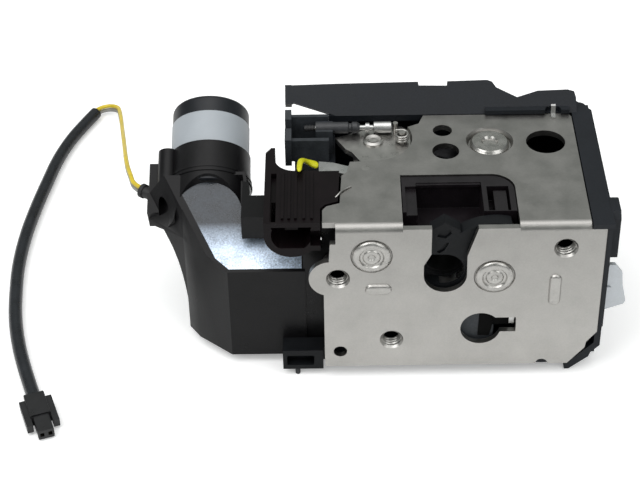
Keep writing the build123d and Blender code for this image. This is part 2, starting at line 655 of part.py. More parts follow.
# Lever housing: a U-shaped barrel along Y with ribs on top and an upright guide blade
BARREL_X = -10.3
BARREL_Z = 56.6
BARREL_R = 9.2
BARREL_IN = 6.8
BARREL_FRONT = SHEET + 0.6
BARREL_BACK = 32.0
BLOCK_TOP = FACE_H + 0.2
BLOCK_L = BARREL_X - BARREL_R
with BuildPart() as lever_housing:
    with BuildSketch(front_plane(BARREL_FRONT)):
        with Locations((BARREL_X, BARREL_Z)):
            Circle(BARREL_R)
        with Locations((BARREL_X, (BARREL_Z + BLOCK_TOP) / 2)):
            Rectangle(2 * BARREL_R, BLOCK_TOP - BARREL_Z)
    extrude(amount=-(BARREL_BACK - BARREL_FRONT))
    with BuildSketch(Plane.XY.offset(50.0)):
        polygon([(BARREL_X, BARREL_FRONT), (-0.6, BARREL_FRONT), (-0.6, 10.4), (1.0, 12.6), (5.4, 14.4),
                 (6.0, 28.8), (6.0, 31.6), (BARREL_X, 31.6)])
    extrude(amount=TOP_LOW - 50.0 - 3.0)
    with BuildSketch(Plane.XY.offset(50.0)):
        polygon([(BARREL_X, BARREL_FRONT), (-0.6, BARREL_FRONT), (-0.6, 10.4), (1.0, 12.6), (5.4, 14.4),
                 (6.0, 28.8), (6.0, 31.6), (BARREL_X, 31.6)])
    extrude(amount=BLOCK_TOP - 50.0)
    # upright blade with its hollow back
    with BuildSketch(Plane.XY.offset(50.0)):
        with BuildLine():
            Polyline((BLOCK_L, 31.0), (BLOCK_L, 41.4), (-17.4, 44.6), (-16.0, 44.6), (-16.0, 38.0))
            RadiusArc((-16.0, 38.0), (-10.0, BARREL_BACK), -6.0)
            Polyline((-10.0, BARREL_BACK), (-10.0, 31.0), (BLOCK_L, 31.0))
        make_face()
    extrude(amount=BLOCK_TOP - 50.0)
    # groove beside the left wall and the low ribs between the guide slots
    with BuildSketch(Plane.XY.offset(BLOCK_TOP)):
        with Locations((-16.4, 17.0)):
            Rectangle(1.9, 27.0)
    extrude(amount=-2.0, mode=Mode.SUBTRACT)
    with BuildSketch(Plane.XY.offset(BLOCK_TOP)):
        with Locations(*[(x, 17.6) for x in (-13.2, -11.0, -8.8, -6.0)]):
            Rectangle(0.9, 26.0)
    extrude(amount=0.7)
    # open barrel with its seat
    with BuildSketch(front_plane(BARREL_FRONT)):
        with Locations((BARREL_X, BARREL_Z)):
            Circle(BARREL_IN)
        with Locations((BARREL_X, BARREL_Z + 6)):
            Rectangle(30, 12 - 2 * (BARREL_Z + 6 - (BLOCK_TOP - 1.9)), mode=Mode.ADD)
        with Locations((BARREL_X, BARREL_Z - 1)):
            Rectangle(2 * BARREL_IN, 2 * (BLOCK_TOP - 1.9 - BARREL_Z + 1), mode=Mode.INTERSECT)
    extrude(amount=-14, mode=Mode.SUBTRACT)
    # stepped recess at the right of the barrel
    with BuildSketch(front_plane(BARREL_FRONT)):
        with Locations((-2.0, 55.4)):
            Rectangle(4.0, 6.4)
    extrude(amount=-5, mode=Mode.SUBTRACT)
    with BuildSketch(front_plane(BARREL_FRONT + 13.9)):
        with Locations((BARREL_X, BARREL_Z)):
            Circle(2.5 + RUN_GAP)
    extrude(amount=-8, mode=Mode.SUBTRACT)
keep("lever_housing", lever_housing)

# Lock hub that turns in the barrel
HUB_FRONT = BARREL_FRONT + 8.0
with BuildPart() as lock_hub:
    with BuildSketch(front_plane(HUB_FRONT)):
        with Locations((BARREL_X, BARREL_Z - 0.2)):
            Circle(3.1)
    extrude(amount=-5.6)
    with BuildSketch(front_plane(HUB_FRONT - 3.4)):
        with Locations((BARREL_X, BARREL_Z - 0.2)):
            Rectangle(4.4, 2.0)
    extrude(amount=-3.5)
    with BuildSketch(front_plane(HUB_FRONT)):
        with Locations((BARREL_X, BARREL_Z)):
            Circle(2.5)
    extrude(amount=-12.5)
keep("lock_hub", lock_hub)

# Actuator housing: upright walls at the front, a slanted lid and a sleeve round the motor
TAN = tan(radians(MOTOR_TILT))


def lid_outline(clear):
    """Plan outline of the lid with its round end at the motor."""
    with Locations((ROUND_X, ROUND_Y)):
        Circle(ROUND_R + clear)
    polygon([(HOUSE_RIGHT + 1, 0), (-60, 0), (-60, ROUND_Y - 2), (-51.8, ROUND_Y + 1), (ROUND_X, ROUND_Y),
             (-27.9 + clear, ROUND_Y), (-27.9 + clear, 23.0 + clear), (HOUSE_RIGHT + 1, 23.0 + clear)])


def gearbox(inset):
    """Low box behind the front walls that carries the output shaft."""
    with BuildPart() as block:
        with BuildSketch(side_plane(-30 + inset)):
            polygon([(20.0, 9.0), (33.0, 12.0), (40.5, 20.0), (40.5, 34.0), (36.0, 37.0), (20.0, 37.0)])
            if inset:
                offset(amount=-inset)
        extrude(amount=HOUSE_RIGHT + 30 - 2 * inset)
    return block.part


def lid_z(y, drop=0.0):
    """Height of the slanted lid, drop millimetres below its outer face."""
    return HOUSE_TOP + (y - HOUSE_FRONT) * TAN - drop / cos(radians(MOTOR_TILT))


def house_prism(inset, top_drop):
    """Plan outline of the housing, raised to the slanted lid."""
    with BuildPart() as block:
        with BuildSketch(Plane.XY.offset(HOUSE_FLOOR + inset)):
            polygon([(HOUSE_RIGHT, HOUSE_FRONT), (-32.8, HOUSE_FRONT), (-41.0, 15.4), (-48.3, 21.6),
                     (-53.0, 30.0), (-53.6, 44.0), (-27.0, 44.0), (-25.0, 31.0), (-25.0, 23.4),
                     (HOUSE_RIGHT, 23.4)])
            if inset:
                offset(amount=-inset)
        extrude(amount=80)
        with BuildSketch(side_plane(-80)):
            y0 = HOUSE_FRONT - 5
            polygon([(y0, HOUSE_FLOOR + inset), (24.0, HOUSE_FLOOR + inset), (34.0, 12.0 + inset),
                     (46.0, 25.0 + inset), (46.0, lid_z(46.0, top_drop)), (y0, lid_z(y0, top_drop))])
        extrude(amount=100, mode=Mode.INTERSECT)
    return block.part


def facet(part, shift):
    """Cut the sloping left facet; shift moves it inwards."""
    p1 = Vector(-40.2, 15.2, 39.6)
    p2 = Vector(-51.0, 34.8, 48.7)
    p3 = Vector(-48.3, 21.5, 19.0)
    normal = (p2 - p1).cross(p3 - p1).normalized()
    if normal.X > 0:
        normal = normal * -1
    plane = Plane(origin=p1 - normal * shift, z_dir=normal)
    return part.split(plane, keep=Keep.BOTTOM)


outer_block = facet(house_prism(0, 0), 0)
inner_block = facet(house_prism(WALL, WALL + LID_T), WALL)
lid_plane = Plane(origin=(0, HOUSE_FRONT, lid_z(HOUSE_FRONT, LID_T)),
                  z_dir=(0, -sin(radians(MOTOR_TILT)), cos(radians(MOTOR_TILT))))
lower_block = outer_block.split(lid_plane, keep=Keep.BOTTOM)
upper_block = outer_block.split(lid_plane, keep=Keep.TOP)

OUTLET = Plane(origin=motor_point(-20.0, -1.0, -61.0), z_dir=(-0.8, 0.6, 0))
WHEEL_AXIS = motor_point((WORM_FROM + WORM_TO) / 2, -(WHEEL_R + WORM_R + MESH_GAP))
WHEEL_Y = WHEEL_AXIS[1]
WHEEL_Z = WHEEL_AXIS[2]
with BuildPart() as actuator_housing:
    add(lower_block)
    add(gearbox(0))
    # sleeve round the motor's front end
    with BuildSketch(motor_plane(-36)):
        Circle(SLEEVE_R)
    extrude(amount=CLAMP_FRONT + 36)
    with BuildSketch(motor_plane(CLAMP_FRONT)):
        Circle(SLEEVE_R + 1)
    extrude(amount=12, mode=Mode.SUBTRACT)
    # neck to the lever housing, on a wall beside the lid
    with BuildSketch(Plane.XY.offset(44.6)):
        with Locations((-22.0, 22.8)):
            Rectangle(11.4, 12.4)
    extrude(amount=9.2)
    with BuildSketch(Plane.XY.offset(20)):
        polygon([(-27.7, 23.3), (-25.0, 23.3), (-25.0, 31.0), (-25.6, 37.0), (-27.7, 37.0)])
    extrude(amount=53.8 - 20)
    with BuildSketch(front_plane(16)):
        with Locations((BARREL_X, BARREL_Z)):
            Circle(BARREL_R)
    extrude(amount=-14, mode=Mode.SUBTRACT)
    # wire outlet block
    with BuildSketch(motor_plane(-30.0)):
        with Locations((-56.2 - MOTOR_X, 0.7)):
            RectangleRounded(11.6, 10.6, 1.0)
    extrude(amount=7.9)
    with BuildSketch(motor_plane(-30.0)):
        with Locations((-59.4 - MOTOR_X, 2.4)):
            Rectangle(5.2, 7.2)
    extrude(amount=20)
    # ears for the clamp's screws
    with BuildSketch(motor_plane(CLAMP_FRONT)):
        with Locations(*SCREW_AT):
            Circle(3.5)
    extrude(amount=-2.5)
    # seat of the lid
    with BuildSketch(Plane.XY.offset(20)):
        lid_outline(0.1)
    seat = extrude(amount=60, mode=Mode.PRIVATE)
    add(seat.split(lid_plane, keep=Keep.TOP), mode=Mode.SUBTRACT)
    add(inner_block, mode=Mode.SUBTRACT)
    add(gearbox(WALL), mode=Mode.SUBTRACT)
    with BuildSketch(motor_plane(CLAMP_FRONT)):
        with Locations(*SCREW_AT):
            Circle(SCREW_D / 2 + RUN_GAP)
    extrude(amount=-2.5, mode=Mode.SUBTRACT)
    with BuildSketch(motor_plane(CLAMP_FRONT - 2.5)):
        with Locations(*SCREW_AT):
            Circle(2.9)
    extrude(amount=-9, mode=Mode.SUBTRACT)
    with BuildSketch(motor_plane(MOTOR_FRONT)):
        Circle(MOTOR_R + RUN_GAP)
    extrude(amount=30, mode=Mode.SUBTRACT)
    with BuildSketch(motor_plane(MOTOR_FRONT - 6)):
        Circle(6.2)
    extrude(amount=7, mode=Mode.SUBTRACT)
    # wire outlet bore
    with BuildSketch(OUTLET):
        Circle(2.2)
    extrude(amount=8, both=True, mode=Mode.SUBTRACT)
    # shaft hole in the right wall
    with BuildSketch(side_plane(HOUSE_RIGHT - 4)):
        with Locations((WHEEL_Y, WHEEL_Z)):
            Circle(3.0 + RUN_GAP)
    extrude(amount=8, mode=Mode.SUBTRACT)
keep("actuator_housing", actuator_housing)

with BuildPart() as actuator_lid:
    add(upper_block)
    with BuildSketch(Plane.XY.offset(20)):
        lid_outline(0)
    extrude(amount=50, mode=Mode.INTERSECT)
keep("actuator_lid", actuator_lid)

# Motor with its label band, its clamp and the drive
with BuildPart() as motor_can:
    with BuildSketch(motor_plane(MOTOR_FRONT)):
        Circle(MOTOR_R)
    extrude(amount=MOTOR_BACK - MOTOR_FRONT)
    fillet(motor_can.edges().sort_by(Axis.Z)[-1:], 1.6)
    with BuildSketch(motor_plane(MOTOR_BACK)):
        Circle(4.2)
    extrude(amount=1.6)
    with BuildSketch(motor_plane(MOTOR_FRONT)):
        Circle(5.0)
    extrude(amount=-2.6)
    with BuildSketch(motor_plane(MOTOR_FRONT - 2.6)):
        Circle(1.15 + RUN_GAP)
    extrude(amount=12, mode=Mode.SUBTRACT)
keep("motor_can", motor_can)

with BuildPart() as label_band:
    with BuildSketch(motor_plane(-6)):
        Circle(MOTOR_R + 0.2)
        Circle(MOTOR_R, mode=Mode.SUBTRACT)
    extrude(amount=12)
keep("label_band", label_band)

with BuildPart() as motor_clamp:
    with BuildSketch(motor_plane(CLAMP_FRONT)):
        Circle(SLEEVE_R)
    extrude(amount=3.6)
    with BuildSketch(motor_plane(CLAMP_FRONT)):
        Circle(MOTOR_R + 0.9)
        with Locations(*SCREW_AT):
            Circle(3.5)
    extrude(amount=13.2)
    for step, radius in ((0.8, SLEEVE_R + 0.7), (2.4, SLEEVE_R + 0.35)):
        with BuildSketch(motor_plane(CLAMP_FRONT + step)):
            Circle(radius)
        extrude(amount=0.7)
    with BuildSketch(motor_plane(CLAMP_FRONT)):
        with Locations(*SCREW_AT):
            Circle(SCREW_D / 2)
    extrude(amount=9, mode=Mode.SUBTRACT)
    with BuildSketch(motor_plane(CLAMP_FRONT)):
        Circle(MOTOR_R + RUN_GAP)
    extrude(amount=20, mode=Mode.SUBTRACT)
keep("motor_clamp", motor_clamp)

with BuildPart() as clamp_screws:
    with BuildSketch(motor_plane(CLAMP_FRONT - 2.5)):
        with Locations(*SCREW_AT):
            Circle(SCREW_D / 2)
    extrude(amount=11)
    with BuildSketch(motor_plane(CLAMP_FRONT - 2.5)):
        with Locations(*SCREW_AT):
            Circle(2.6)
    extrude(amount=-1.5)
keep("clamp_screws", clamp_screws)

with BuildPart() as motor_shaft:
    with BuildSketch(motor_plane(MOTOR_FRONT + 8)):
        Circle(1.15)
    extrude(amount=WORM_TO - 1.0 - MOTOR_FRONT - 8)
keep("motor_shaft", motor_shaft)

with BuildPart() as worm:
    with BuildSketch(motor_plane(WORM_TO)):
        Circle(WORM_R - 1.1)
    extrude(amount=WORM_FROM - WORM_TO)
    for turn in range(5):
        with BuildSketch(motor_plane(WORM_TO + 1.2 + turn * 2.4)):
            Circle(WORM_R)
        extrude(amount=1.1)
    with BuildSketch(motor_plane(WORM_TO)):
        Circle(1.15)
    extrude(amount=WORM_FROM - WORM_TO, mode=Mode.SUBTRACT)
keep("worm", worm)

WHEEL_X = MOTOR_X
TEETH = 20
with BuildPart() as worm_wheel:
    with BuildSketch(side_plane(WHEEL_X - 2.5)):
        with Locations((WHEEL_Y, WHEEL_Z)):
            Circle(WHEEL_R - 1.2)
            with PolarLocations(WHEEL_R - 1.2, TEETH):
                Rectangle(2.4, 1.1)
    extrude(amount=5.0)
    with BuildSketch(side_plane(WHEEL_X - 4.5)):
        with Locations((WHEEL_Y, WHEEL_Z)):
            Circle(3.0)
    extrude(amount=HOUSE_RIGHT + 1.0 - WHEEL_X + 4.5)
    with BuildSketch(side_plane(HOUSE_RIGHT + 1.0)):
        with Locations((WHEEL_Y, WHEEL_Z)):
            Rectangle(3.6, 3.6)
    extrude(amount=3.0)
keep("worm_wheel", worm_wheel)

with BuildPart() as output_lever:
    with BuildSketch(side_plane(HOUSE_RIGHT + 1.2)):
        with Locations((WHEEL_Y, WHEEL_Z)):
            Circle(4.4)
        with Locations((WHEEL_Y + 8, WHEEL_Z)):
            Rectangle(16, 5.0)
        with Locations((WHEEL_Y + 16, WHEEL_Z)):
            Circle(2.5)
        with Locations((WHEEL_Y, WHEEL_Z)):
            Rectangle(3.6, 3.6, mode=Mode.SUBTRACT)
    extrude(amount=2.4)
    with BuildSketch(side_plane(HOUSE_RIGHT + 3.6)):
        with Locations((WHEEL_Y + 16, WHEEL_Z)):
            Circle(1.4)
    extrude(amount=3.0)
keep("output_lever", output_lever)

# Wire outlet grommet
EXIT = OUTLET.from_local_coords((0, 0, 4.8))
with BuildPart() as wire_grommet:
    with BuildSketch(OUTLET.offset(3.3)):
        Circle(2.6)
    extrude(amount=1.5)
    with BuildSketch(OUTLET.offset(-3)):
        Circle(2.2)
    extrude(amount=6.3)
keep("wire_grommet", wire_grommet)

# Rear casing: floor, side walls, partition and the rim beside the side plate
with BuildPart() as rear_casing:
    with BuildSketch(front_plane(CASE_FRONT)):
        polygon([(CASE_L, FLOOR_Z), (CASE_R, FLOOR_Z), (CASE_R, RIM_Z), (CASE_R - WALL, RIM_Z),
                 (CASE_R - WALL, FLOOR_Z + WALL), (CASE_L + WALL, FLOOR_Z + WALL), (CASE_L + WALL, 46.0),
                 (CASE_L, 46.0)])
    extrude(amount=-(CASE_BACK - CASE_FRONT))
    with BuildSketch(front_plane(34.0)):
        with Locations((CASE_L + WALL / 2, 49.5)):
            Rectangle(WALL, 7.0)
    extrude(amount=-(CASE_BACK - 34.0))
    # partition behind the latch with the key bore
    with BuildSketch(front_plane(CASE_FRONT)):
        with Locations(((CASE_L + CASE_R) / 2, (FLOOR_Z + 21.6) / 2)):
            Rectangle(CASE_R - CASE_L, 21.6 - FLOOR_Z)
        with Locations((82.0, 24.0)):
            Circle(5.5)
        with Locations((KEY_X, KEY_Z)):
            Circle(2.6 + RUN_GAP, mode=Mode.SUBTRACT)
        with Locations((82.0, 24.0)):
            Circle(2.5, mode=Mode.SUBTRACT)
    extrude(amount=-WALL)
    # skirt behind the face plate: right wall, floor and the lower right flange
    with BuildSketch(front_plane(SKIRT_Y)):
        polygon([(CASE_L, -1.9), (84.6, -1.9), (84.6, FLOOR_Z), (86.2, FLOOR_Z), (92.8, 0.6), (93.4, 2.6), (CASE_R, 5.8),
                 (CASE_R, RIM_Z), (CASE_R - WALL, RIM_Z), (CASE_R - WALL, 7.0), (88.0, 0.4), (CASE_L, 0.4)])
    extrude(amount=-(CASE_FRONT - SKIRT_Y))
    # strip beside the face plate's right edge
    with BuildSketch(front_plane(0.9)):
        with Locations(((FACE_W + GAP + CASE_R) / 2, (16.0 + RIM_Z) / 2)):
            Rectangle(CASE_R - FACE_W - GAP, RIM_Z - 16.0)
    extrude(amount=-(SKIRT_Y - 0.9))
    # rim that closes the gap beside the side plate and hooks over the corner
    with BuildSketch(Plane.XY.offset(RIM_Z)):
        polygon([(TOP_RIGHT + 0.4, -0.4), (CASE_R + 0.4, -0.4), (CASE_R + 0.4, 66.0), (92.0, CASE_BACK),
                 (TOP_RIGHT + 0.4, CASE_BACK)])
    extrude(amount=1.9)
    # pad on the right wall
    with BuildSketch(side_plane(CASE_R)):
        polygon([(5.0, 43.5), (14.0, 43.5), (16.4, 46.0), (16.4, 60.4), (14.0, 62.0), (7.0, 62.0), (5.0, 60.0)])
    extrude(amount=3.2)
    # slot for the outside lever
    with BuildSketch(side_plane(CASE_R - WALL - 1)):
        with Locations((OUT_Y + OUT_T / 2, 27.4)):
            Rectangle(OUT_T + 2, 31.0)
    extrude(amount=WALL + 2, mode=Mode.SUBTRACT)
keep("rear_casing", rear_casing)

# Rear cover: back plate, ledge and the slanted hood with its beak over the cable
SLOPE = tan(radians(COVER_SLOPE))


def hood_y(v):
    return HOOD_RISE_Y + v * cos(radians(COVER_SLOPE))


hood_plane = Plane(origin=(0, HOOD_RISE_Y, FACE_H + 0.2), x_dir=(1, 0, 0),
                   z_dir=(0, -sin(radians(COVER_SLOPE)), cos(radians(COVER_SLOPE))))
HOOD_LINE = [(91.4, 5.5), (90.8, 7.9), (88.5, 8.6), (77.7, 8.3), (70.3, 6.0), (62.9, 9.8), (61.5, 11.9),
             (59.7, 12.6), (45.4, 12.3), (45.2, 10.7), (35.1, 10.9), (34.9, 12.3)]
BEAK_L = -12.9
with BuildPart() as rear_cover:
    with BuildSketch(front_plane(CASE_BACK)):
        with Locations(((CASE_L + CASE_R) / 2, (FLOOR_Z + RIM_Z - GAP) / 2)):
            RectangleRounded(CASE_R - CASE_L, RIM_Z - GAP - FLOOR_Z, 3)
    extrude(amount=-2.2)
    with BuildSketch(Plane.XY.offset(FACE_H + 0.2)):
        with Locations(((CASE_L + TOP_RIGHT) / 2, (CASE_BACK + 2.2 + TOP_DEPTH + GAP) / 2)):
            Rectangle(TOP_RIGHT - CASE_L, CASE_BACK + 2.2 - TOP_DEPTH - GAP)
    extrude(amount=-(FACE_H + 0.2 - 56.0))
    with BuildSketch(front_plane(TOP_DEPTH - 1)):
        with Locations(((CASE_L + TOP_RIGHT) / 2, 57.0)):
            Rectangle(TOP_RIGHT - CASE_L - 2 * WALL, 4.6)
    extrude(amount=-(CASE_BACK - TOP_DEPTH + 1), mode=Mode.SUBTRACT)
    # solid wedge of the hood
    with BuildSketch(Plane.XY.offset(FACE_H + 0.2)):
        polygon([(4.9, HOOD_RISE_Y), (91.4, HOOD_RISE_Y)] + [(x, hood_y(v)) for x, v in HOOD_LINE]
                + [(4.9, hood_y(12.0))])
    hood = extrude(amount=14, mode=Mode.PRIVATE)
    add(hood.split(hood_plane, keep=Keep.BOTTOM))
    # thin beak over the cable with its end flange
    with BuildSketch(hood_plane):
        polygon([(5.4, 0.2), (5.4, 12.0), (BEAK_L, 11.6), (BEAK_L, 4.9), (-11.4, 4.6), (-9.8, 5.2), (4.9, 0.2)])
    extrude(amount=-1.8)
    with BuildSketch(front_plane(hood_y(9.4))):
        with Locations(((BEAK_L + 5.0) / 2, 65.4)):
            Rectangle(5.0 - BEAK_L, 4.4)
    extrude(amount=-1.6)
    with BuildSketch(hood_plane):
        with Locations((BEAK_L + 1.15, 8.3)):
            Rectangle(2.3, 7.0)
    extrude(amount=-4.6)
    # lip over the side plate's rear edge, with a round notch for the clip
    with BuildSketch(Plane.XY.offset(FACE_H + 0.3)):
        with Locations(((58.6 + 88.6) / 2, HOOD_RISE_Y + 0.4)):
            Rectangle(30.0, 2.4)
    extrude(amount=1.7)
    with BuildSketch(Plane.XY.offset(FACE_H + 0.2)):
        with Locations((82.8, HOOD_RISE_Y - 0.8)):
            Circle(2.9)
    extrude(amount=12, mode=Mode.SUBTRACT)
keep("rear_cover", rear_cover)

with BuildPart() as cover_clip:
    with BuildSketch(side_plane(82.0)):
        polygon([(61.2, FACE_H), (64.2, FACE_H), (64.8, FACE_H + 3.8), (64.0, FACE_H + 3.6),
                 (63.6, FACE_H + 0.6), (61.2, FACE_H + 0.6)])
    extrude(amount=1.6)
keep("cover_clip", cover_clip)

with BuildPart() as cover_screws:
    with BuildSketch(front_plane(CASE_BACK + 2.2)):
        with Locations((9.0, 1.4), (89.0, 1.4), (9.0, 48.0), (89.0, 53.0)):
            Circle(2.7)
    extrude(amount=-1.8)
keep("cover_screws", cover_screws)

# Outside handle lever that reaches through the right wall
with BuildPart() as outside_lever:
    with BuildSketch(front_plane(OUT_Y)):
        with Locations((OUT_X, OUT_Z)):
            Circle(5.0)
        polygon([(OUT_X - 1, OUT_Z - 4.9), (96.8, 19.2), (103.6, 21.9), (104.3, 23.4), (102.7, 30.5), (102.2, 35.6),
                 (99.6, 39.2), (97.6, 39.4), (96.6, 33.0), (OUT_X - 1, OUT_Z + 4.9)])
        with Locations((OUT_X, OUT_Z)):
            Circle(2.5 + RUN_GAP, mode=Mode.SUBTRACT)
    extrude(amount=-OUT_T)
    with BuildSketch(front_plane(OUT_Y)):
        with Locations((97.9, 27.6)):
            RectangleRounded(1.8, 4.6, 0.6)
    extrude(amount=0.6)
keep("outside_lever", outside_lever)

with BuildPart() as outside_lever_pin:
    with BuildSketch(Plane.XY):
        with BuildLine():
            Polyline((0, 4.4), (3.9, 4.4), (3.9, OUT_Y - 0.2), (2.5, OUT_Y - 0.2), (2.5, CASE_FRONT + WALL + 0.2),
                     (3.4, CASE_FRONT + WALL + 0.2), (3.0, CASE_FRONT + WALL + 1.2),
                     (0, CASE_FRONT + WALL + 1.2), close=True)
        make_face()
    revolve(axis=Axis.Y)
outside_lever_pin.part = Pos(OUT_X, 0, OUT_Z) * outside_lever_pin.part
keep("outside_lever_pin", outside_lever_pin)

# Key lever seen in the keyhole, and the link that it pushes
KEY_Y = 4.2
with BuildPart() as key_lever:
    with BuildSketch(front_plane(KEY_Y + 2.0)):
        with Locations((KEY_X, KEY_Z)):
            Circle(5.6)
        polygon([(KEY_X - 3, KEY_Z + 2), (KEY_X + 2, KEY_Z + 6.4), (KEY_X + 6.4, KEY_Z + 3.4),
                 (KEY_X + 6.4, KEY_Z - 1.0), (KEY_X, KEY_Z - 3.6)])
    extrude(amount=-2.2)
    with BuildSketch(front_plane(KEY_Y)):
        polygon([(KEY_X - 1.4, KEY_Z - 5.0), (KEY_X + 1.8, KEY_Z - 5.2), (KEY_X + 2.8, KEY_Z + 5.6),
                 (KEY_X - 0.6, KEY_Z + 5.6)])
    extrude(amount=-2.0)
    with BuildSketch(front_plane(KEY_Y + 3.0)):
        with Locations((KEY_X, KEY_Z)):
            Circle(2.6)
    extrude(amount=-8.6)
keep("key_lever", key_lever)

with BuildPart() as key_link:
    with BuildSketch(front_plane(KEY_Y + 2.0)):
        with Locations((KEY_X + 9.4, KEY_Z + 1.6)):
            RectangleRounded(6.0, 4.6, 0.8)
    extrude(amount=-1.8)
keep("key_link", key_link)

# Foot clip at the lower left, with its spring pin
with BuildPart() as foot_clip:
    with BuildSketch(side_plane(-14.6)):
        polygon([(1.4, -2.4), (HOUSE_FRONT, -2.4), (HOUSE_FRONT, 6.2), (1.4, 6.2)])
    extrude(amount=14.2)
    with BuildSketch(front_plane(1.4)):
        with Locations((-8.4, 1.6)):
            RectangleRounded(9.6, 4.4, 0.5)
    extrude(amount=-3.6, mode=Mode.SUBTRACT)
    with BuildSketch(front_plane(3.0)):
        polygon([(-0.4, 0.6), (CASE_L, 0.6), (CASE_L, 6.2), (-0.4, 6.2)])
    extrude(amount=-(HOUSE_FRONT - 3.0))
keep("foot_clip", foot_clip)

with BuildPart() as foot_pin:
    with BuildSketch(Plane.XY.offset(FLOOR_Z)):
        with Locations((-9.5, 2.6)):
            Circle(0.9)
    extrude(amount=-2.4 - FLOOR_Z)
keep("foot_pin", foot_pin)

# Cord: two wires from the grommet to the sleeve, then the sleeve to the plug
WIRE_ROUTE = [tuple(EXIT), tuple(OUTLET.from_local_coords((0, 0, 8.8))), (-70.2, 58.5, 40.0), (-71.6, 66.0, 38.0),
              (-74.0, 80.0, 33.4), (-77.6, 104.0, 24.0), (-80.6, 128.0, 14.0), (-83.0, 145.0, 7.0),
              (-85.2, 155.4, 2.6), (-87.4, 162.6, -0.6), (-91.6, 166.4, -2.2), (-97.2, 165.2, -2.6),
              (-100.0, 159.6, -2.6)]
SLEEVE_ROUTE = [(-100.0, 159.6, -2.6), (-104.0, 151.6, -2.6), (-107.2, 140.0, -2.6), (-109.6, 127.0, -2.6),
                (-111.2, 114.0, -2.6), (-113.4, 100.0, -2.6), (-115.6, 81.0, -2.6), (-116.2, 62.0, -2.6),
                (-115.0, 45.0, -2.6), (-113.2, 29.7, -2.6), (-109.9, 15.0, -2.6), (-105.6, 1.0, -2.6),
                (-101.2, -11.3, -2.6)]


def cord_path(points):
    radii = []
    corners = [Vector(*p) for p in points]
    for before, here, after in zip(corners, corners[1:], corners[2:]):
        turn = radians((here - before).get_angle(after - here))
        run = min((here - before).length, (after - here).length)
        radii.append(round(0.45 * run / tan(turn / 2), 2))
    return radii


def cord_solid(points, diameter):
    radii = cord_path(points)
    with BuildPart() as tube:
        with BuildLine() as route:
            FilletPolyline(*points, radius=radii)
        path = route.wires()[0]
        with BuildSketch(Plane(origin=path @ 0, z_dir=path % 0)):
            Circle(diameter / 2)
        sweep(path=path)
    print("radii", radii, "length", round(path.length, 1), "volume", round(tube.part.volume, 1),
          "expected", round(path.length * 3.14159 * diameter ** 2 / 4, 1))
    return tube


def raised(points, height):
    return [(x, y, z + height) for x, y, z in points]


yellow_wire = cord_solid(raised(WIRE_ROUTE, 1), WIRE_D)
keep("yellow_wire", yellow_wire)
grey_wire = cord_solid(raised(WIRE_ROUTE, -1), WIRE_D)
keep("grey_wire", grey_wire)
cable_sleeve = cord_solid(SLEEVE_ROUTE, SLEEVE_D)
keep("cable_sleeve", cable_sleeve)

# Plug on the cord's end
END = Vector(*SLEEVE_ROUTE[-1])
AIM = (END - Vector(*SLEEVE_ROUTE[-2])).normalized()
plug_plane = Plane(origin=END, x_dir=AIM.cross(Vector(0, 0, 1)), z_dir=AIM)
with BuildPart() as plug_housing:
    with BuildSketch(plug_plane):
        RectangleRounded(7.2, 4.8, 0.5)
    extrude(amount=11)
    with BuildSketch(plug_plane.offset(11)):
        RectangleRounded(5.6, 3.8, 0.4)
    extrude(amount=8)
    with BuildSketch(plug_plane.offset(2)):
        with Locations((-4.6, 0), (4.6, 0)):
            Rectangle(2.2, 3.0)
    extrude(amount=13)
    with BuildSketch(plug_plane.offset(19)):
        with Locations((-1.4, 0), (1.4, 0)):
            Rectangle(1.4, 1.6)
    extrude(amount=-6, mode=Mode.SUBTRACT)
keep("plug_housing", plug_housing)

with BuildPart() as plug_terminals:
    with BuildSketch(plug_plane.offset(13)):
        with Locations((-1.4, 0), (1.4, 0)):
            Rectangle(1.0, 1.0)
    extrude(amount=4.5)
keep("plug_terminals", plug_terminals)

# The finished part stands on its lowest point, with its origin under the middle of the box
CORD = ("yellow_wire", "grey_wire", "cable_sleeve", "plug_housing", "plug_terminals")
box = Compound([piece for name, piece in pieces.items() if name not in CORD]).bounding_box()
SHIFT = Vector(-(box.min.X + box.max.X) / 2, -(box.min.Y + box.max.Y) / 2, -box.min.Z)
for name, piece in pieces.items():
    placed = piece.moved(Location(SHIFT))
    placed.label = name
    export_step(placed, f"parts/{name}.step")
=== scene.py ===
import bpy
import bmesh
from math import cos, sin, tan, pi, radians
from mathutils import Matrix, Vector


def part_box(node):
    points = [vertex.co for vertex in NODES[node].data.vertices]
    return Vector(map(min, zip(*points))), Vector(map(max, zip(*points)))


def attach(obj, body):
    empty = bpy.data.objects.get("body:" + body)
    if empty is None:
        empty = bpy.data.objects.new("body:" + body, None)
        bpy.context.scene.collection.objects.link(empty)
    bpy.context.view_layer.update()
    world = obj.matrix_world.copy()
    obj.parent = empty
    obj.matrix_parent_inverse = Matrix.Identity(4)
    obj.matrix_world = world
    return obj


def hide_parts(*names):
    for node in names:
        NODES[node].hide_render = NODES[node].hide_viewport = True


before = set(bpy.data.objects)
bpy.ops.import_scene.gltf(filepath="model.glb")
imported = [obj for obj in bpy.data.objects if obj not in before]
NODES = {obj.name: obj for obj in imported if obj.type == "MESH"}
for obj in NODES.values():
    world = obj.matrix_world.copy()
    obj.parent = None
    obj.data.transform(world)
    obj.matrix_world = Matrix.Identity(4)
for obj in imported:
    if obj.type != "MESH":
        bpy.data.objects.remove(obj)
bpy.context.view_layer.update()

# The lock's own corner, lower left on the face plate's front, in the row frame, in millimetres
EAR_REACH = 4.8
TOP_DEPTH = 64.4
low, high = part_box("latch_frame")
CORNER = Vector((low[0] * 1000 + EAR_REACH, high[1] * 1000 - TOP_DEPTH, low[2] * 1000))

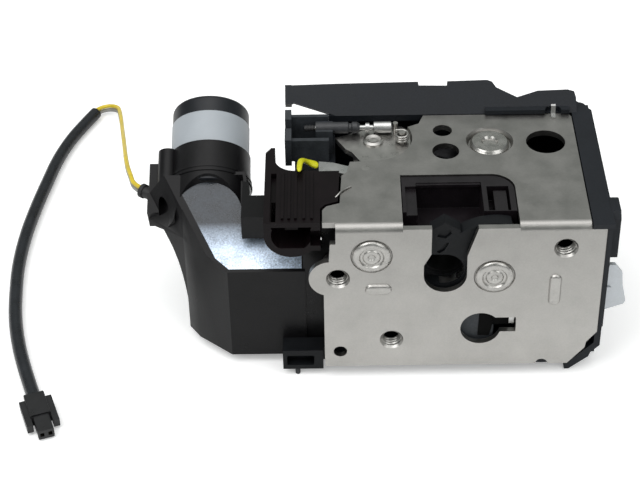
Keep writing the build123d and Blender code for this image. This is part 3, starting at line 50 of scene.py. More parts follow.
# Places on the latch that several pieces share: x and z on the face plate
CLAW_AXIS = (57.9, 40.0)
PAWL_AXIS = (16.4, 49.4)
KEY_AXIS = (54.0, 16.8)
FIXINGS = ((5.1, 39.8), (81.3, 51.8), (23.4, 12.1))
SHARP = radians(35)


def at(x, y, z):
    """A place given from the lock's corner in millimetres, as metres in the row frame."""
    return (CORNER + Vector((x, y, z))) / 1000.0


# Camera, solved from the edges of the two plates
PITCH = radians(38.7)
YAW = radians(-0.6)
ROLL = radians(-1.2)
CAMERA_PLACE = (4.1, -460.0, 425.4)
look = Vector((sin(YAW) * cos(PITCH), cos(YAW) * cos(PITCH), -sin(PITCH)))
flat_right = Vector((cos(YAW), -sin(YAW), 0))
flat_up = flat_right.cross(look)
right = flat_right * cos(ROLL) + flat_up * sin(ROLL)
up = flat_up * cos(ROLL) - flat_right * sin(ROLL)
cam_data = bpy.data.cameras.new("camera")
cam_data.lens = 100
cam_data.sensor_width = 36
cam_data.clip_start = 0.01
camera = bpy.data.objects.new("camera", cam_data)
bpy.context.collection.objects.link(camera)
turn = Matrix((right, up, -look)).transposed().to_4x4()
camera.matrix_world = Matrix.Translation(at(*CAMERA_PLACE)) @ turn
bpy.context.scene.camera = camera
bpy.context.scene.view_settings.view_transform = "Standard"


# Materials
def links_of(mat):
    mat.use_nodes = True
    return mat.node_tree.nodes, mat.node_tree.links


def noise(nodes, links, source, size, detail=3):
    """Noise whose features are about size millimetres."""
    node = nodes.new("ShaderNodeTexNoise")
    node.inputs["Scale"].default_value = 1000.0 / size
    node.inputs["Detail"].default_value = detail
    node.inputs["Roughness"].default_value = 0.6
    links.new(source, node.inputs["Vector"])
    return node.outputs["Fac"]


def bump_of(nodes, links, height, strength, under=None):
    """Normal of a fine relief, on top of another normal where one is given."""
    bump = nodes.new("ShaderNodeBump")
    bump.inputs["Strength"].default_value = strength
    bump.inputs["Distance"].default_value = 0.0001
    links.new(height, bump.inputs["Height"])
    if under:
        links.new(under, bump.inputs["Normal"])
    return bump.outputs["Normal"]


def map_range(nodes, links, value, from_min, from_max, to_min, to_max):
    node = nodes.new("ShaderNodeMapRange")
    for socket, number in (("From Min", from_min), ("From Max", from_max), ("To Min", to_min),
                           ("To Max", to_max)):
        node.inputs[socket].default_value = number
    links.new(value, node.inputs["Value"])
    return node.outputs["Result"]


# The noise is read between these two levels
NOISE_LOW = 0.3
NOISE_HIGH = 0.7


def surface(name, colour, rough, metal=0.0, vary=0.12, vary_size=9.0, grain=0.0, grain_size=0.35,
            rough_vary=0.08, coat=0.0, coat_rough=0.1, specular=0.5, fleck=0.0, fleck_size=0.7,
            rings=None, ring_axis="Y", painted_light=None):
    """Procedural surface: tone and gloss vary softly, with fine flecks and a grain. Sizes in mm.

    rings is the middle of turning marks. The last argument is painted light and shade: it scales
    the tone along an axis, given as axis, first and last place in metres, and the factor at each.
    """
    mat = bpy.data.materials.new(name)
    nodes, links = links_of(mat)
    shader = nodes["Principled BSDF"]
    shader.inputs["Metallic"].default_value = metal
    shader.inputs["Specular IOR Level"].default_value = specular
    if coat:
        shader.inputs["Coat Weight"].default_value = coat
        shader.inputs["Coat Roughness"].default_value = coat_rough
    place = nodes.new("ShaderNodeTexCoord").outputs["Object"]
    soft = noise(nodes, links, place, vary_size, 5)
    tone = nodes.new("ShaderNodeValToRGB")
    dark, light = tone.color_ramp.elements
    dark.position = NOISE_LOW
    light.position = NOISE_HIGH
    dark.color = [c * (1 - vary) for c in colour] + [1]
    light.color = [c * (1 + vary) for c in colour] + [1]
    drive = soft
    if fleck:
        fine = noise(nodes, links, place, fleck_size, 2)
        blend = nodes.new("ShaderNodeMix")
        blend.inputs["Factor"].default_value = fleck
        links.new(soft, blend.inputs["A"])
        links.new(fine, blend.inputs["B"])
        drive = blend.outputs["Result"]
    links.new(drive, tone.inputs["Fac"])
    shade = tone.outputs["Color"]
    # Painted light and shade: the tone is scaled by place along one axis of the object
    if painted_light:
        axis, first, last, start, end = painted_light
        parts = nodes.new("ShaderNodeSeparateXYZ")
        links.new(place, parts.inputs["Vector"])
        toned = nodes.new("ShaderNodeVectorMath")
        toned.operation = "SCALE"
        links.new(shade, toned.inputs[0])
        links.new(map_range(nodes, links, parts.outputs[axis], first, last, start, end), toned.inputs["Scale"])
        shade = toned.outputs["Vector"]
    links.new(shade, shader.inputs["Base Color"])
    links.new(map_range(nodes, links, soft, NOISE_LOW, NOISE_HIGH, rough - rough_vary, rough + rough_vary),
              shader.inputs["Roughness"])
    normal = None
    if grain:
        normal = bump_of(nodes, links, noise(nodes, links, place, grain_size, 2), grain)
    if rings:
        moved = nodes.new("ShaderNodeMapping")
        moved.inputs["Location"].default_value = [-c for c in rings]
        links.new(place, moved.inputs["Vector"])
        wave = nodes.new("ShaderNodeTexWave")
        wave.wave_type = "RINGS"
        wave.rings_direction = ring_axis
        wave.inputs["Scale"].default_value = 420
        wave.inputs["Distortion"].default_value = 0.6
        links.new(moved.outputs["Vector"], wave.inputs["Vector"])
        normal = bump_of(nodes, links, wave.outputs["Fac"], 0.15, normal)
    if normal:
        links.new(normal, shader.inputs["Normal"])
    return mat


def middle(node):
    """Middle of a node's box, in metres."""
    a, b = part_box(node)
    return [(p + q) / 2 for p, q in zip(a, b)]


ZINC_TONE = (0.455, 0.445, 0.425)
# Painted shade: the plate's tone falls from 1.06 times at the foot of the face plate to 0.8 times near its top
# and over the top plate
ZINC_PAINTED_SHADE = surface("zinc_plate_painted_shade", ZINC_TONE, 0.36, metal=1, vary=0.12, vary_size=11, grain=0.3, grain_size=0.55,
               rough_vary=0.07, fleck=0.3, painted_light=("Z", at(0, 0, 6).z, at(0, 0, 58).z, 1.06, 0.8))
ZINC_CLAW = surface("zinc_rivet_claw", ZINC_TONE, 0.3, metal=1, vary=0.15, vary_size=3, grain=0.3,
                    rings=middle("claw_rivet"))
ZINC_PAWL = surface("zinc_rivet_pawl", ZINC_TONE, 0.3, metal=1, vary=0.15, vary_size=3, grain=0.3,
                    rings=middle("pawl_rivet"))
ZINC_SIDE = surface("zinc_rivet_side", ZINC_TONE, 0.26, metal=1, vary=0.15, vary_size=3, grain=0.3,
                    rings=middle("side_rivet"), ring_axis="Z")
ZINC_PART = surface("zinc_small", ZINC_TONE, 0.33, metal=1, vary=0.14, vary_size=4, grain=0.3, fleck=0.3)
TAB = surface("zinc_blue_tab", (0.52, 0.545, 0.57), 0.4, metal=0.8, vary=0.1, vary_size=4, grain=0.3,
              fleck=0.3)
STEEL_TONE = (0.58, 0.58, 0.57)
BARE = surface("bare_steel", STEEL_TONE, 0.3, metal=1, vary=0.1, vary_size=5, grain=0.2)
CLAW = surface("claw_steel", STEEL_TONE, 0.3, metal=1, vary=0.1, vary_size=5, grain=0.2)
DARK_STEEL = surface("dark_steel", (0.05, 0.05, 0.054), 0.45, metal=0.7, vary=0.25, vary_size=5, grain=0.3)
SPRING = surface("spring_steel", (0.45, 0.44, 0.42), 0.3, metal=1, vary=0.15, vary_size=3, grain=0.15)
BLACK_TONE = (0.0075, 0.0083, 0.0095)
BLACK = surface("black_plastic", BLACK_TONE, 0.42, vary=0.35, vary_size=10, grain=0.35,
                grain_size=0.45, fleck=0.35, specular=0.15)
# Near-black matte: painted shade in the fixing holes, and also the key lever's blade
DARK_BORE = surface("dark_bore", (0.004, 0.004, 0.004), 0.7, vary=0.3, vary_size=4, grain=0.2,
                    specular=0.05)
COVER = surface("cover_plastic", (0.0105, 0.0125, 0.016), 0.48, vary=0.28, vary_size=12, grain=0.3,
                grain_size=0.5, fleck=0.4, specular=0.24)
HOUSING = surface("housing_plastic", (0.006, 0.0058, 0.0064), 0.34, vary=0.4, vary_size=12, grain=0.3,
                  grain_size=0.6, fleck=0.35, specular=0.2)
RED_BLACK = surface("brown_black_plastic", (0.0048, 0.0028, 0.0034), 0.38, vary=0.4, vary_size=6, grain=0.3,
                    fleck=0.4, specular=0.14)
TRAY = surface("tray_plastic", (0.0075, 0.0055, 0.007), 0.34, vary=0.35, vary_size=6, grain=0.25, fleck=0.3,
               specular=0.4)
# Painted sheen: the lid's tone is raised up to 32 times towards its front edge, in place of a reflection of the
# lamps
LID_PAINTED_SHEEN = surface("glossy_lid_painted_sheen", (0.027, 0.032, 0.039), 0.28, metal=0.3, vary=0.8, vary_size=9, grain=0.7,
              grain_size=0.5, rough_vary=0.12, fleck=0.45, fleck_size=0.6, coat=0.35, coat_rough=0.25,
              painted_light=("Y", at(0, 9.5, 0).y, at(0, 26, 0).y, 32.0, 1.0))
GREY = surface("grey_plastic", (0.30, 0.31, 0.31), 0.45, vary=0.1, vary_size=6, grain=0.15)
BUSH = surface("bush_plastic", (0.03, 0.031, 0.034), 0.4, vary=0.3, vary_size=3, grain=0.3)
HOLDER = surface("holder_plastic", (0.032, 0.036, 0.041), 0.42, vary=0.4, vary_size=5, grain=0.35,
                 fleck=0.4, specular=0.3)
RUBBER = surface("rubber", (0.012, 0.012, 0.013), 0.55, vary=0.25, vary_size=5, grain=0.4)
CAN = surface("painted_can", (0.009, 0.0105, 0.0135), 0.32, vary=0.25, vary_size=12, grain=0.12,
              grain_size=0.8, fleck=0.3, specular=0.32)
LABEL = surface("bare_label", (0.37, 0.40, 0.43), 0.42, vary=0.035, vary_size=8, grain=0.05)
BRASS = surface("brass", (0.62, 0.46, 0.2), 0.28, metal=1, vary=0.1, vary_size=3, grain=0.1)
YELLOW = surface("yellow_plastic", (0.62, 0.60, 0.008), 0.4, vary=0.12, vary_size=3, grain=0.1)
WIRE_YELLOW = surface("yellow_insulation", (0.70, 0.53, 0.03), 0.42, vary=0.15, vary_size=4, grain=0.15)
WIRE_GREY = surface("grey_insulation", (0.30, 0.30, 0.29), 0.42, vary=0.15, vary_size=4, grain=0.15)
SLEEVE = surface("cable_sleeve", (0.012, 0.014, 0.017), 0.3, vary=0.35, vary_size=6, grain=0.7, grain_size=1.2,
                 fleck=0.3, specular=0.4)
PLUG = surface("plug_plastic", (0.008, 0.008, 0.009), 0.34, vary=0.2, vary_size=5, grain=0.2)


# Cords: two wires from the grommet to the sleeve, and the sleeve to its plug
def cord_curve(name, points, diameter, mat, sides=6):
    """Round curve whose control points are the route, in millimetres."""
    curve = bpy.data.curves.new(name, "CURVE")
    curve.dimensions = "3D"
    spline = curve.splines.new("NURBS")
    spline.points.add(len(points) - 1)
    for p, q in zip(spline.points, points):
        p.co = (*at(*q), 1)
    spline.order_u = 3
    spline.use_endpoint_u = True
    spline.resolution_u = 12
    curve.bevel_depth = diameter / 2000
    curve.bevel_resolution = sides
    curve.use_fill_caps = True
    curve.materials.append(mat)
    obj = bpy.data.objects.new(name, curve)
    bpy.context.collection.objects.link(obj)
    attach(obj, "base")
    return obj


WIRE_DIAMETER = 1.6
SLEEVE_DIAMETER = 5.0
WIRE_ROUTE = ((-64.84, 50.276, 40.641), (-68.04, 52.676, 40.641), (-69.6, 59.0, 40.2), (-71.6, 67.0, 38.0),
              (-73.8, 80.0, 33.8), (-76.8, 101.0, 24.6), (-80.4, 125.0, 13.6), (-83.2, 144.0, 6.4),
              (-85.2, 156.0, 1.8), (-86.6, 163.0, -1.0), (-90.5, 166.0, -2.2), (-95.0, 164.9, -2.6),
              (-96.35, 162.6, -2.6))
SLEEVE_ROUTE = ((-96.35, 162.6, -2.6), (-102.4, 149.6, -2.6), (-106.2, 139.0, -2.6), (-109.2, 127.0, -2.6),
                (-111.2, 114.0, -2.6), (-113.4, 100.0, -2.6), (-115.6, 81.0, -2.6), (-116.2, 62.0, -2.6),
                (-115.0, 45.0, -2.6), (-113.2, 29.7, -2.6), (-109.9, 15.0, -2.6), (-105.6, 1.0, -2.6),
                (-101.2, -11.3, -2.6))
for name, lift, mat in (("yellow_wire", 1, WIRE_YELLOW), ("grey_wire", -1, WIRE_GREY)):
    route = [(x, y, z + lift) for x, y, z in WIRE_ROUTE]
    wire = cord_curve(f"{name}_lead", route, WIRE_DIAMETER, mat)
    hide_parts(name)
sleeve = cord_curve("cable_sleeve_tube", SLEEVE_ROUTE, SLEEVE_DIAMETER, SLEEVE)
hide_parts("cable_sleeve")

# Finish of each piece of the CAD model that stays in view
LOOK = (
    (ZINC_PAINTED_SHADE, "latch_frame"),
    (ZINC_SIDE, "side_rivet"),
    (ZINC_PART, "release_lever", "lever_rivet", "lock_lever_pin", "outside_lever_pin"),
    (TAB, "outside_lever"),
    (DARK_STEEL, "inner_plate", "pawl", "transfer_lever", "cover_screws", "foot_pin"),
    (CLAW, "claw"),
    (BARE, "pull_rod", "lock_lever", "cover_clip", "motor_shaft"),
    (SPRING, "claw_spring", "pawl_spring", "lever_spring"),
    (BLACK, "claw_coat", "foot_clip"),
    (HOLDER, "cable_holder"),
    (RED_BLACK, "lock_hub"),
    (CAN, "motor_can"),
    (LABEL, "label_band"),
    (BRASS, "worm", "plug_terminals"),
    (GREY, "worm_wheel", "output_lever"),
    (RUBBER, "wire_grommet", "striker_buffer"),
    (COVER, "rear_casing", "rear_cover"),
    (BUSH, "cable_bush"),
    (PLUG, "plug_housing"),
)
SOFT_EDGES = {
    "latch_frame": 0.28, "rear_casing": 0.35, "rear_cover": 0.35, "release_lever": 0.25,
    "outside_lever": 0.3, "cable_holder": 0.25, "foot_clip": 0.3, "claw_coat": 0.25,
    "lock_hub": 0.25, "plug_housing": 0.25, "lock_lever": 0.25,
}


def soften(obj, width):
    """Round the sharp edges by width millimetres."""
    bevel = obj.modifiers.new("soft_edges", "BEVEL")
    bevel.width = width / 1000
    bevel.segments = 2
    bevel.limit_method = "ANGLE"
    bevel.angle_limit = SHARP
    bevel.harden_normals = True


for mat, *names in LOOK:
    for name in names:
        slots = NODES[name].data.materials
        if slots:
            for i in range(len(slots)):
                slots[i] = mat
        else:
            slots.append(mat)
for name, width in SOFT_EDGES.items():
    soften(NODES[name], width)


# Small helpers for the scene's own pieces
def mesh_piece(name, verts, faces, mat, body_name):
    mesh = bpy.data.meshes.new(name)
    mesh.from_pydata([tuple(v) for v in verts], [], faces)
    mesh.update()
    obj = bpy.data.objects.new(name, mesh)
    bpy.context.collection.objects.link(obj)
    for poly in mesh.polygons:
        poly.use_smooth = True
    mesh.materials.append(mat)
    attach(obj, body_name)
    return obj


# Solids for the scene's own pieces: an outline of two coordinates, run along the third
def plan(u, v, w):
    return (u, v, w)


def front(u, v, w):
    return (u, w, v)


def side(u, v, w):
    return (w, u, v)


TILT = radians(25.0)
MOTOR = Vector((-40.3, 65.1, 50.0))


def motor(u, v, w):
    """Outline square to the motor's axis, v downwards, run along the axis."""
    return MOTOR + Vector((u, w * cos(TILT) + v * sin(TILT), w * sin(TILT) - v * cos(TILT)))


def prism(way, outline, start, end):
    """Outline run from start to end along the direction square to it."""
    mesh = bpy.data.meshes.new("solid")
    bm = bmesh.new()
    rings = []
    for w in (start, end):
        rings.append([bm.verts.new(at(*way(u, v, w))) for u, v in outline])
    for ring in rings:
        bm.faces.new(ring)
    count = len(outline)
    for i in range(count):
        j = (i + 1) % count
        bm.faces.new((rings[0][i], rings[0][j], rings[1][j], rings[1][i]))
    bmesh.ops.recalc_face_normals(bm, faces=bm.faces)
    bm.to_mesh(mesh)
    bm.free()
    obj = bpy.data.objects.new("solid", mesh)
    bpy.context.collection.objects.link(obj)
    return obj


def combine(base, other, how):
    """Boolean of two solids; the second one is used up."""
    mod = base.modifiers.new("boolean", "BOOLEAN")
    mod.operation = how
    mod.solver = "EXACT"
    mod.object = other
    bpy.context.view_layer.update()
    mesh = bpy.data.meshes.new_from_object(base.evaluated_get(bpy.context.evaluated_depsgraph_get()))
    base.modifiers.clear()
    old = base.data
    base.data = mesh
    bpy.data.meshes.remove(old)
    bpy.data.meshes.remove(other.data)
    return base


def join(base, *others):
    for other in others:
        combine(base, other, "UNION")
    return base


def cut(base, *others):
    for other in others:
        combine(base, other, "DIFFERENCE")
    return base


def meet(base, *others):
    for other in others:
        combine(base, other, "INTERSECT")
    return base


def circle(x, y, r, count=56, start=0.0, sweep=360.0):
    """Points of a circle, or of an arc where sweep is less than a full turn."""
    steps = count if sweep == 360.0 else count - 1
    return [(x + r * cos(radians(start + sweep * i / steps)), y + r * sin(radians(start + sweep * i / steps)))
            for i in range(count)]


def rect(x, y, w, h):
    return [(x - w / 2, y - h / 2), (x + w / 2, y - h / 2), (x + w / 2, y + h / 2), (x - w / 2, y + h / 2)]


def inset(outline, depth):
    """The outline with each of its edges moved inwards."""
    count = len(outline)
    area = sum(outline[i - 1][0] * outline[i][1] - outline[i][0] * outline[i - 1][1] for i in range(count))
    way = depth if area > 0 else -depth
    lines = []
    for i in range(count):
        (x0, y0), (x1, y1) = outline[i - 1], outline[i]
        nx, ny = -(y1 - y0), x1 - x0
        size = (nx * nx + ny * ny) ** 0.5
        lines.append((nx / size, ny / size, (x0 * nx + y0 * ny) / size + way))
    result = []
    for i in range(count):
        (a, b, e), (c, d, f) = lines[i], lines[(i + 1) % count]
        det = a * d - b * c
        result.append(((e * d - b * f) / det, (a * f - e * c) / det))
    return result


def half_space(p1, p2, p3, inside):
    """Large box on the far side of the plane through three points, away from the point inside."""
    p1, p2, p3 = Vector(p1), Vector(p2), Vector(p3)
    normal = (p2 - p1).cross(p3 - p1).normalized()
    if (Vector(inside) - p1).dot(normal) > 0:
        normal = -normal
    first = normal.orthogonal().normalized()
    second = normal.cross(first)
    return prism(lambda u, v, w: p1 + first * u + second * v + normal * w, rect(0, 0, 300, 300), 0, 120)


def dress(obj, name, mat, edge, body="base"):
    """Name, finish, edge softening in millimetres and body of a solid."""
    obj.name = name
    obj.data.name = name
    obj.data.materials.clear()
    obj.data.materials.append(mat)
    obj.data.shade_smooth()
    obj.data.set_sharp_from_angle(angle=SHARP)
    if edge:
        soften(obj, edge)
    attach(obj, body)
    return obj


# Lever housing: a flat-topped block with low ribs, an open barrel at the front and an upright blade
BARREL_X = -10.3
BARREL_Z = 56.6
BARREL_FRONT = 2.8
BARREL_R = 9.2
BARREL_BORE = 6.8
BLOCK_TOP = 61.9
BLOCK_LEFT = -19.5
RIBS = (-13.2, -11.0, -8.8, -6.0, -3.4)
shell = prism(front, circle(BARREL_X, BARREL_Z, BARREL_R, 40, 180, 180)
              + [(-1.1, BLOCK_TOP), (BLOCK_LEFT, BLOCK_TOP)], BARREL_FRONT, 32.0)
join(shell,
     prism(plan, [(BARREL_X, BARREL_FRONT), (-0.6, BARREL_FRONT), (-0.6, 10.4), (1.0, 12.6), (5.4, 14.4),
                  (6.0, 28.8), (6.0, 31.6), (BARREL_X, 31.6)], 50.0, BLOCK_TOP - 0.02),
     prism(plan, [(BLOCK_LEFT, 31.0), (BLOCK_LEFT, 42.6), (-17.6, 45.6), (-16.2, 45.6)]
           + circle(-9.2, 39.0, 7.0, 12, 180, 90) + [(-9.2, 31.0)], 50.0, BLOCK_TOP - 0.01))
cut(shell, prism(plan, rect(-16.4, 17.0, 1.9, 27.0), BLOCK_TOP - 2.0, 70))
for x in RIBS:
    join(shell, prism(plan, rect(x, 17.6, 0.9, 26.0), BLOCK_TOP - 0.5, BLOCK_TOP + 0.7))
cut(shell,
    prism(front, [(BARREL_X + 4.16, 51.22)] + circle(BARREL_X, BARREL_Z, BARREL_BORE, 20, -50, 70)
          + [(BARREL_X + BARREL_BORE, 60.0), (BARREL_X - BARREL_BORE, 60.0)]
          + circle(BARREL_X, BARREL_Z, BARREL_BORE, 20, 160, 70) + [(BARREL_X - 4.16, 51.22)],
          -5, BARREL_FRONT + 14),
    prism(front, rect(-2.0, 55.4, 4.0, 6.4), -5, BARREL_FRONT + 5),
    prism(front, circle(BARREL_X, BARREL_Z, 2.55, 32), BARREL_FRONT + 13, BARREL_FRONT + 22))
dress(shell, "lever_housing_block", RED_BLACK, 0.3)
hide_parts("lever_housing")

# Motor housing: upright walls, a slanted glossy lid, a web that flares to the wire outlet, a sleeve
HOUSE_FRONT = 8.4
HOUSE_RIGHT = -6.2
HOUSE_TOP = 36.4
WALL = 2.2
LID_T = 2.4
RIM = 1.1
ROUND = (-39.8, 28.6)
ROUND_R = 11.9
RING_R = 14.9
MOTOR_BORE = 13.9
EAR_R = 3.5
SCREWS = ((-14.7, -5.2), (10.5, 11.6))
INSIDE = (-30, 20, 10)


def lid_z(y, drop=0.0):
    """Height of the slanted lid, drop millimetres below its outer face."""
    return HOUSE_TOP + (y - HOUSE_FRONT) * tan(TILT) - drop / cos(TILT)


def house_block(wall, drop):
    """Block under the slanted lid, its sides wall millimetres inside the outer faces."""
    outline = [(HOUSE_RIGHT, HOUSE_FRONT), (-32.8, HOUSE_FRONT), (-44.6, 18.2), (-48.6, 24.0), (-49.6, 44.0),
               (-27.0, 44.0), (-25.0, 31.0), (-25.0, 23.4), (HOUSE_RIGHT, 23.4)]
    if wall:
        outline = inset(outline, wall)
    block = prism(plan, outline, -1.5 + wall, 80)
    meet(block, prism(side, [(3.4, -1.5 + wall), (24.0, -1.5 + wall), (34.0, 12.0 + wall),
                             (46.0, 25.0 + wall), (46.0, lid_z(46.0, drop)), (3.4, lid_z(3.4, drop))], -80, 20))
    return block


def facet(block, shift=0.0):
    """Cut the block by the slanted plane at the left, shift millimetres inside it."""
    p1, p2, p3 = Vector((-40.2, 14.6, 39.3)), Vector((-51.0, 34.8, 48.7)), Vector((-61.4, 37.0, 37.4))
    normal = (p2 - p1).cross(p3 - p1).normalized()
    if (Vector(INSIDE) - p1).dot(normal) < 0:
        normal = -normal
    move = normal * shift
    return cut(block, half_space(p1 + move, p2 + move, p3 + move, INSIDE))


def above_lid():
    """Everything above the underside of the lid."""
    return prism(side, [(0.0, lid_z(0.0, LID_T)), (70.0, lid_z(70.0, LID_T)), (70.0, 120.0), (0.0, 120.0)],
                 -90, 30)


def lid_round():
    return prism(plan, circle(*ROUND, ROUND_R), 20, 80)


def lid_shape(clear):
    """Upright column of the lid's outline, clear millimetres larger at the motor's side."""
    shape = prism(plan, circle(*ROUND, ROUND_R + clear), 20, 80)
    return join(shape, prism(plan, [(HOUSE_RIGHT + 1, 0), (-60, 0), (-60, 26.6), (-51.8, 29.6), (-39.8, 28.6),
                                    (-27.9 + clear, 28.6), (-27.9 + clear, 23.0 + clear),
                                    (HOUSE_RIGHT + 1, 23.0 + clear)], 19.9, 80.1))


def gear_room(wall):
    """Bulge behind the housing for the worm wheel, wall millimetres inside its outer faces."""
    outline = [(20.0, 9.0), (33.0, 12.0), (40.5, 20.0), (40.5, 34.0), (36.0, 37.0), (20.0, 37.0)]
    if wall:
        outline = inset(outline, wall)
    return prism(side, outline, -30 + wall, HOUSE_RIGHT - wall)


outer = facet(house_block(0, 0))
web = prism(front, [(-48.6, 12.0), (-49.2, 16.8), (-50.0, 21.6), (-51.2, 26.6), (-53.0, 31.6), (-56.0, 37.2),
                    (-61.7, 35.4), (-61.7, 54.0), (-46.0, 54.0), (-46.0, 12.0)], 18, 44)
meet(web,
     prism(plan, [(-45.4, 19.6), (-48.4, 23.9), (-61.7, 37.4), (-61.7, 43.2), (-45.4, 43.2)], 0, 60),
     prism(side, [(18.0, 8.0), (30.0, 8.0), (46.0, 25.0), (46.0, lid_z(46.0, 0.2)), (18.0, lid_z(18.0, 0.2))],
           -80, -20))
facet(web)
body = join(outer, web)
lid = join(house_block(RIM, 0.15), meet(lid_round(), house_block(0, 0.15)))
facet(lid, 1.5 * RIM)
meet(lid, above_lid(), lid_shape(0))
cut(body, meet(above_lid(), facet(join(house_block(RIM, -4), lid_round()), 1.5 * RIM)))
cut(body, facet(house_block(WALL, WALL + LID_T), WALL))
join(body, cut(gear_room(0), gear_room(WALL)))
join(body,
     cut(prism(motor, circle(0, 0, RING_R, 72), -36, -19.5), lid_shape(0.1)),
     prism(plan, rect(-22.0, 22.8, 11.4, 12.4), 44.6, 53.8),
     prism(plan, [(-27.7, 23.3), (-25.0, 23.3), (-25.0, 31.0), (-25.6, 37.0), (-27.7, 37.0)], 20, 53.8))
cut(body, prism(front, circle(BARREL_X, BARREL_Z, 9.3, 56), -10, 34))
join(body,
     prism(motor, rect(-19.3, 0.7, 4.8, 10.6), -30.0, -22.1),
     prism(motor, rect(-14.4, 2.6, 8.6, 6.8), -30.0, -22.1),
     prism(motor, rect(-19.1, 2.4, 5.2, 7.2), -30.0, -8.5))
for u, v in SCREWS:
    join(body, prism(motor, circle(u, v, EAR_R, 32), -22.0, -19.5))
cut(body,
    prism(motor, circle(0, 0, MOTOR_BORE, 72), -21.4, 10),
    prism(motor, circle(0, 0, 6.2, 40), -27.4, -20),
    prism(motor, circle(*SCREWS[0], 2.9, 32), -31.0, -22.0),
    prism(motor, circle(*SCREWS[1], 2.9, 32), -26.0, -22.0))
dress(body, "motor_housing_shell", HOUSING, 0.45)
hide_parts("actuator_housing")
dress(lid, "motor_housing_lid", LID_PAINTED_SHEEN, 0.3)
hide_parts("actuator_lid")

# Clamp round the motor with its two ears, and the screws that hold it
clamp = prism(motor, circle(0, 0, 14.55, 72), -19.5, -6.3)
join(clamp, prism(motor, circle(0, 0, RING_R, 72), -19.52, -15.9),
     prism(motor, circle(0, 0, 15.3, 72), -18.7, -18.0), prism(motor, circle(0, 0, 15.1, 72), -17.1, -16.4))
for u, v in SCREWS:
    join(clamp, prism(motor, circle(u, v, EAR_R, 32), -19.48, -6.28))
cut(clamp, prism(motor, circle(0, 0, MOTOR_BORE, 72), -22, -4))
for u, v in SCREWS:
    cut(clamp, prism(motor, circle(u, v, 1.3, 24), -21, -10))
dress(clamp, "motor_clamp_ring", HOUSING, 0.25)
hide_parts("motor_clamp")


def cross_screw(u, v):
    """Screw along the motor's axis with a cross recess in its head."""
    screw = join(prism(motor, circle(u, v, 1.2, 24), -22.5, -11),
                 prism(motor, circle(u, v, 2.5, 32), -23.6, -22.1))
    return cut(screw, prism(motor, rect(u, v, 2.8, 0.7), -24, -23.0),
               prism(motor, rect(u, v, 0.7, 2.8), -24, -23.0))


screws = join(*[cross_screw(u, v) for u, v in SCREWS])
dress(screws, "clamp_screw_pair", DARK_STEEL, 0.15)
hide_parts("clamp_screws")

# Front panel between the motor housing and the latch, with a tongue beside the ear
panel = prism(front, [(-6.9, -5.0), (4.8, -5.0), (4.8, 46.0), (-6.9, 46.0)], 9.2, 13.6)
join(panel, prism(front, [(-0.3, 45.0), (6.0, 45.0), (6.0, 57.5), (-0.3, 57.5)], 9.19, 10.2))
dress(panel, "front_panel", HOUSING, 0.3)

# Tray in the frame's window, with a sunken land at the left and a latch tab at the right
TRAY_LEFT = 27.1
TRAY_RIGHT = 65.3
TRAY_FRONT = 8.8
TRAY_BACK = 28.5
TRAY_CORNER = 8.0
tray = prism(plan, [(TRAY_LEFT, TRAY_FRONT), (TRAY_RIGHT, TRAY_FRONT), (TRAY_RIGHT, TRAY_BACK - TRAY_CORNER)]
             + circle(TRAY_RIGHT - TRAY_CORNER, TRAY_BACK - TRAY_CORNER, TRAY_CORNER, 14, 0, 90)
             + [(TRAY_LEFT, TRAY_BACK)], 48.0, 61.2)
cut(tray,
    prism(plan, [(32.0, 8.0), (54.2, 8.0), (54.2, 25.0), (32.0, 25.0)], 50.2, 70),
    prism(plan, rect(59.6, 15.8, 7.4, 13.4), 55.0, 70),
    prism(plan, [(28.3, 8.0), (32.5, 8.0), (32.5, 23.0), (28.3, 23.0)], 59.8, 70))
join(tray, prism(plan, rect(60.3, 15.6, 4.4, 11.6), 54.5, 60.1),
     prism(plan, rect(43.1, 24.7, 22.0, 1.1), 59.6, 60.8))
dress(tray, "mouth_tray", TRAY, 0.3)
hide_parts("mouth_insert")

# Key lever: a disc with a flat and its shaft, a dark blade with its arm, and the bright end of its link
disc = meet(prism(front, circle(*KEY_AXIS, 8.4, 64), 3.0, 5.4),
            prism(front, rect(38.8, KEY_AXIS[1], 40, 40), 0, 9))
join(disc, prism(front, circle(*KEY_AXIS, 2.6, 32), 5.2, 15.6))
dress(disc, "key_lever_disc", HOLDER, 0.3, "key_lever")
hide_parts("key_lever")
blade = prism(front, [(54.0, 15.6), (64.0, 16.0), (64.0, 21.2), (54.0, 20.2)], 2.99, 5.39)
join(blade, prism(front, [(53.4, 11.2), (57.4, 11.2), (58.6, 17.4), (56.4, 22.6), (53.8, 22.6)], 2.6, 3.2))
dress(blade, "key_lever_blade", DARK_BORE, 0.2, "key_lever")
link = prism(front, rect(65.0, 18.4, 2.2, 4.4), 2.8, 5.2)
dress(link, "key_link_end", BARE, 0.4, "key_lever")
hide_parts("key_link")


# Turned and pressed forms
def turned(x, z, profile, count=64):
    """Solid of revolution about an axis square to the face plate, from pairs of radius and depth."""
    mesh = bpy.data.meshes.new("turned")
    bm = bmesh.new()
    rings = []
    for r, depth in profile:
        ring = []
        for i in range(count if r else 1):
            a = 2 * pi * i / count
            ring.append(bm.verts.new(at(x + r * cos(a), depth, z + r * sin(a))))
        rings.append(ring)
    for first, second in zip(rings, rings[1:]):
        for i in range(count):
            j = (i + 1) % count
            corners = list(dict.fromkeys([first[i % len(first)], first[j % len(first)],
                                          second[j % len(second)], second[i % len(second)]]))
            if len(corners) > 2:
                bm.faces.new(corners)
    bmesh.ops.recalc_face_normals(bm, faces=bm.faces)
    bm.to_mesh(mesh)
    bm.free()
    obj = bpy.data.objects.new("turned", mesh)
    bpy.context.collection.objects.link(obj)
    return obj


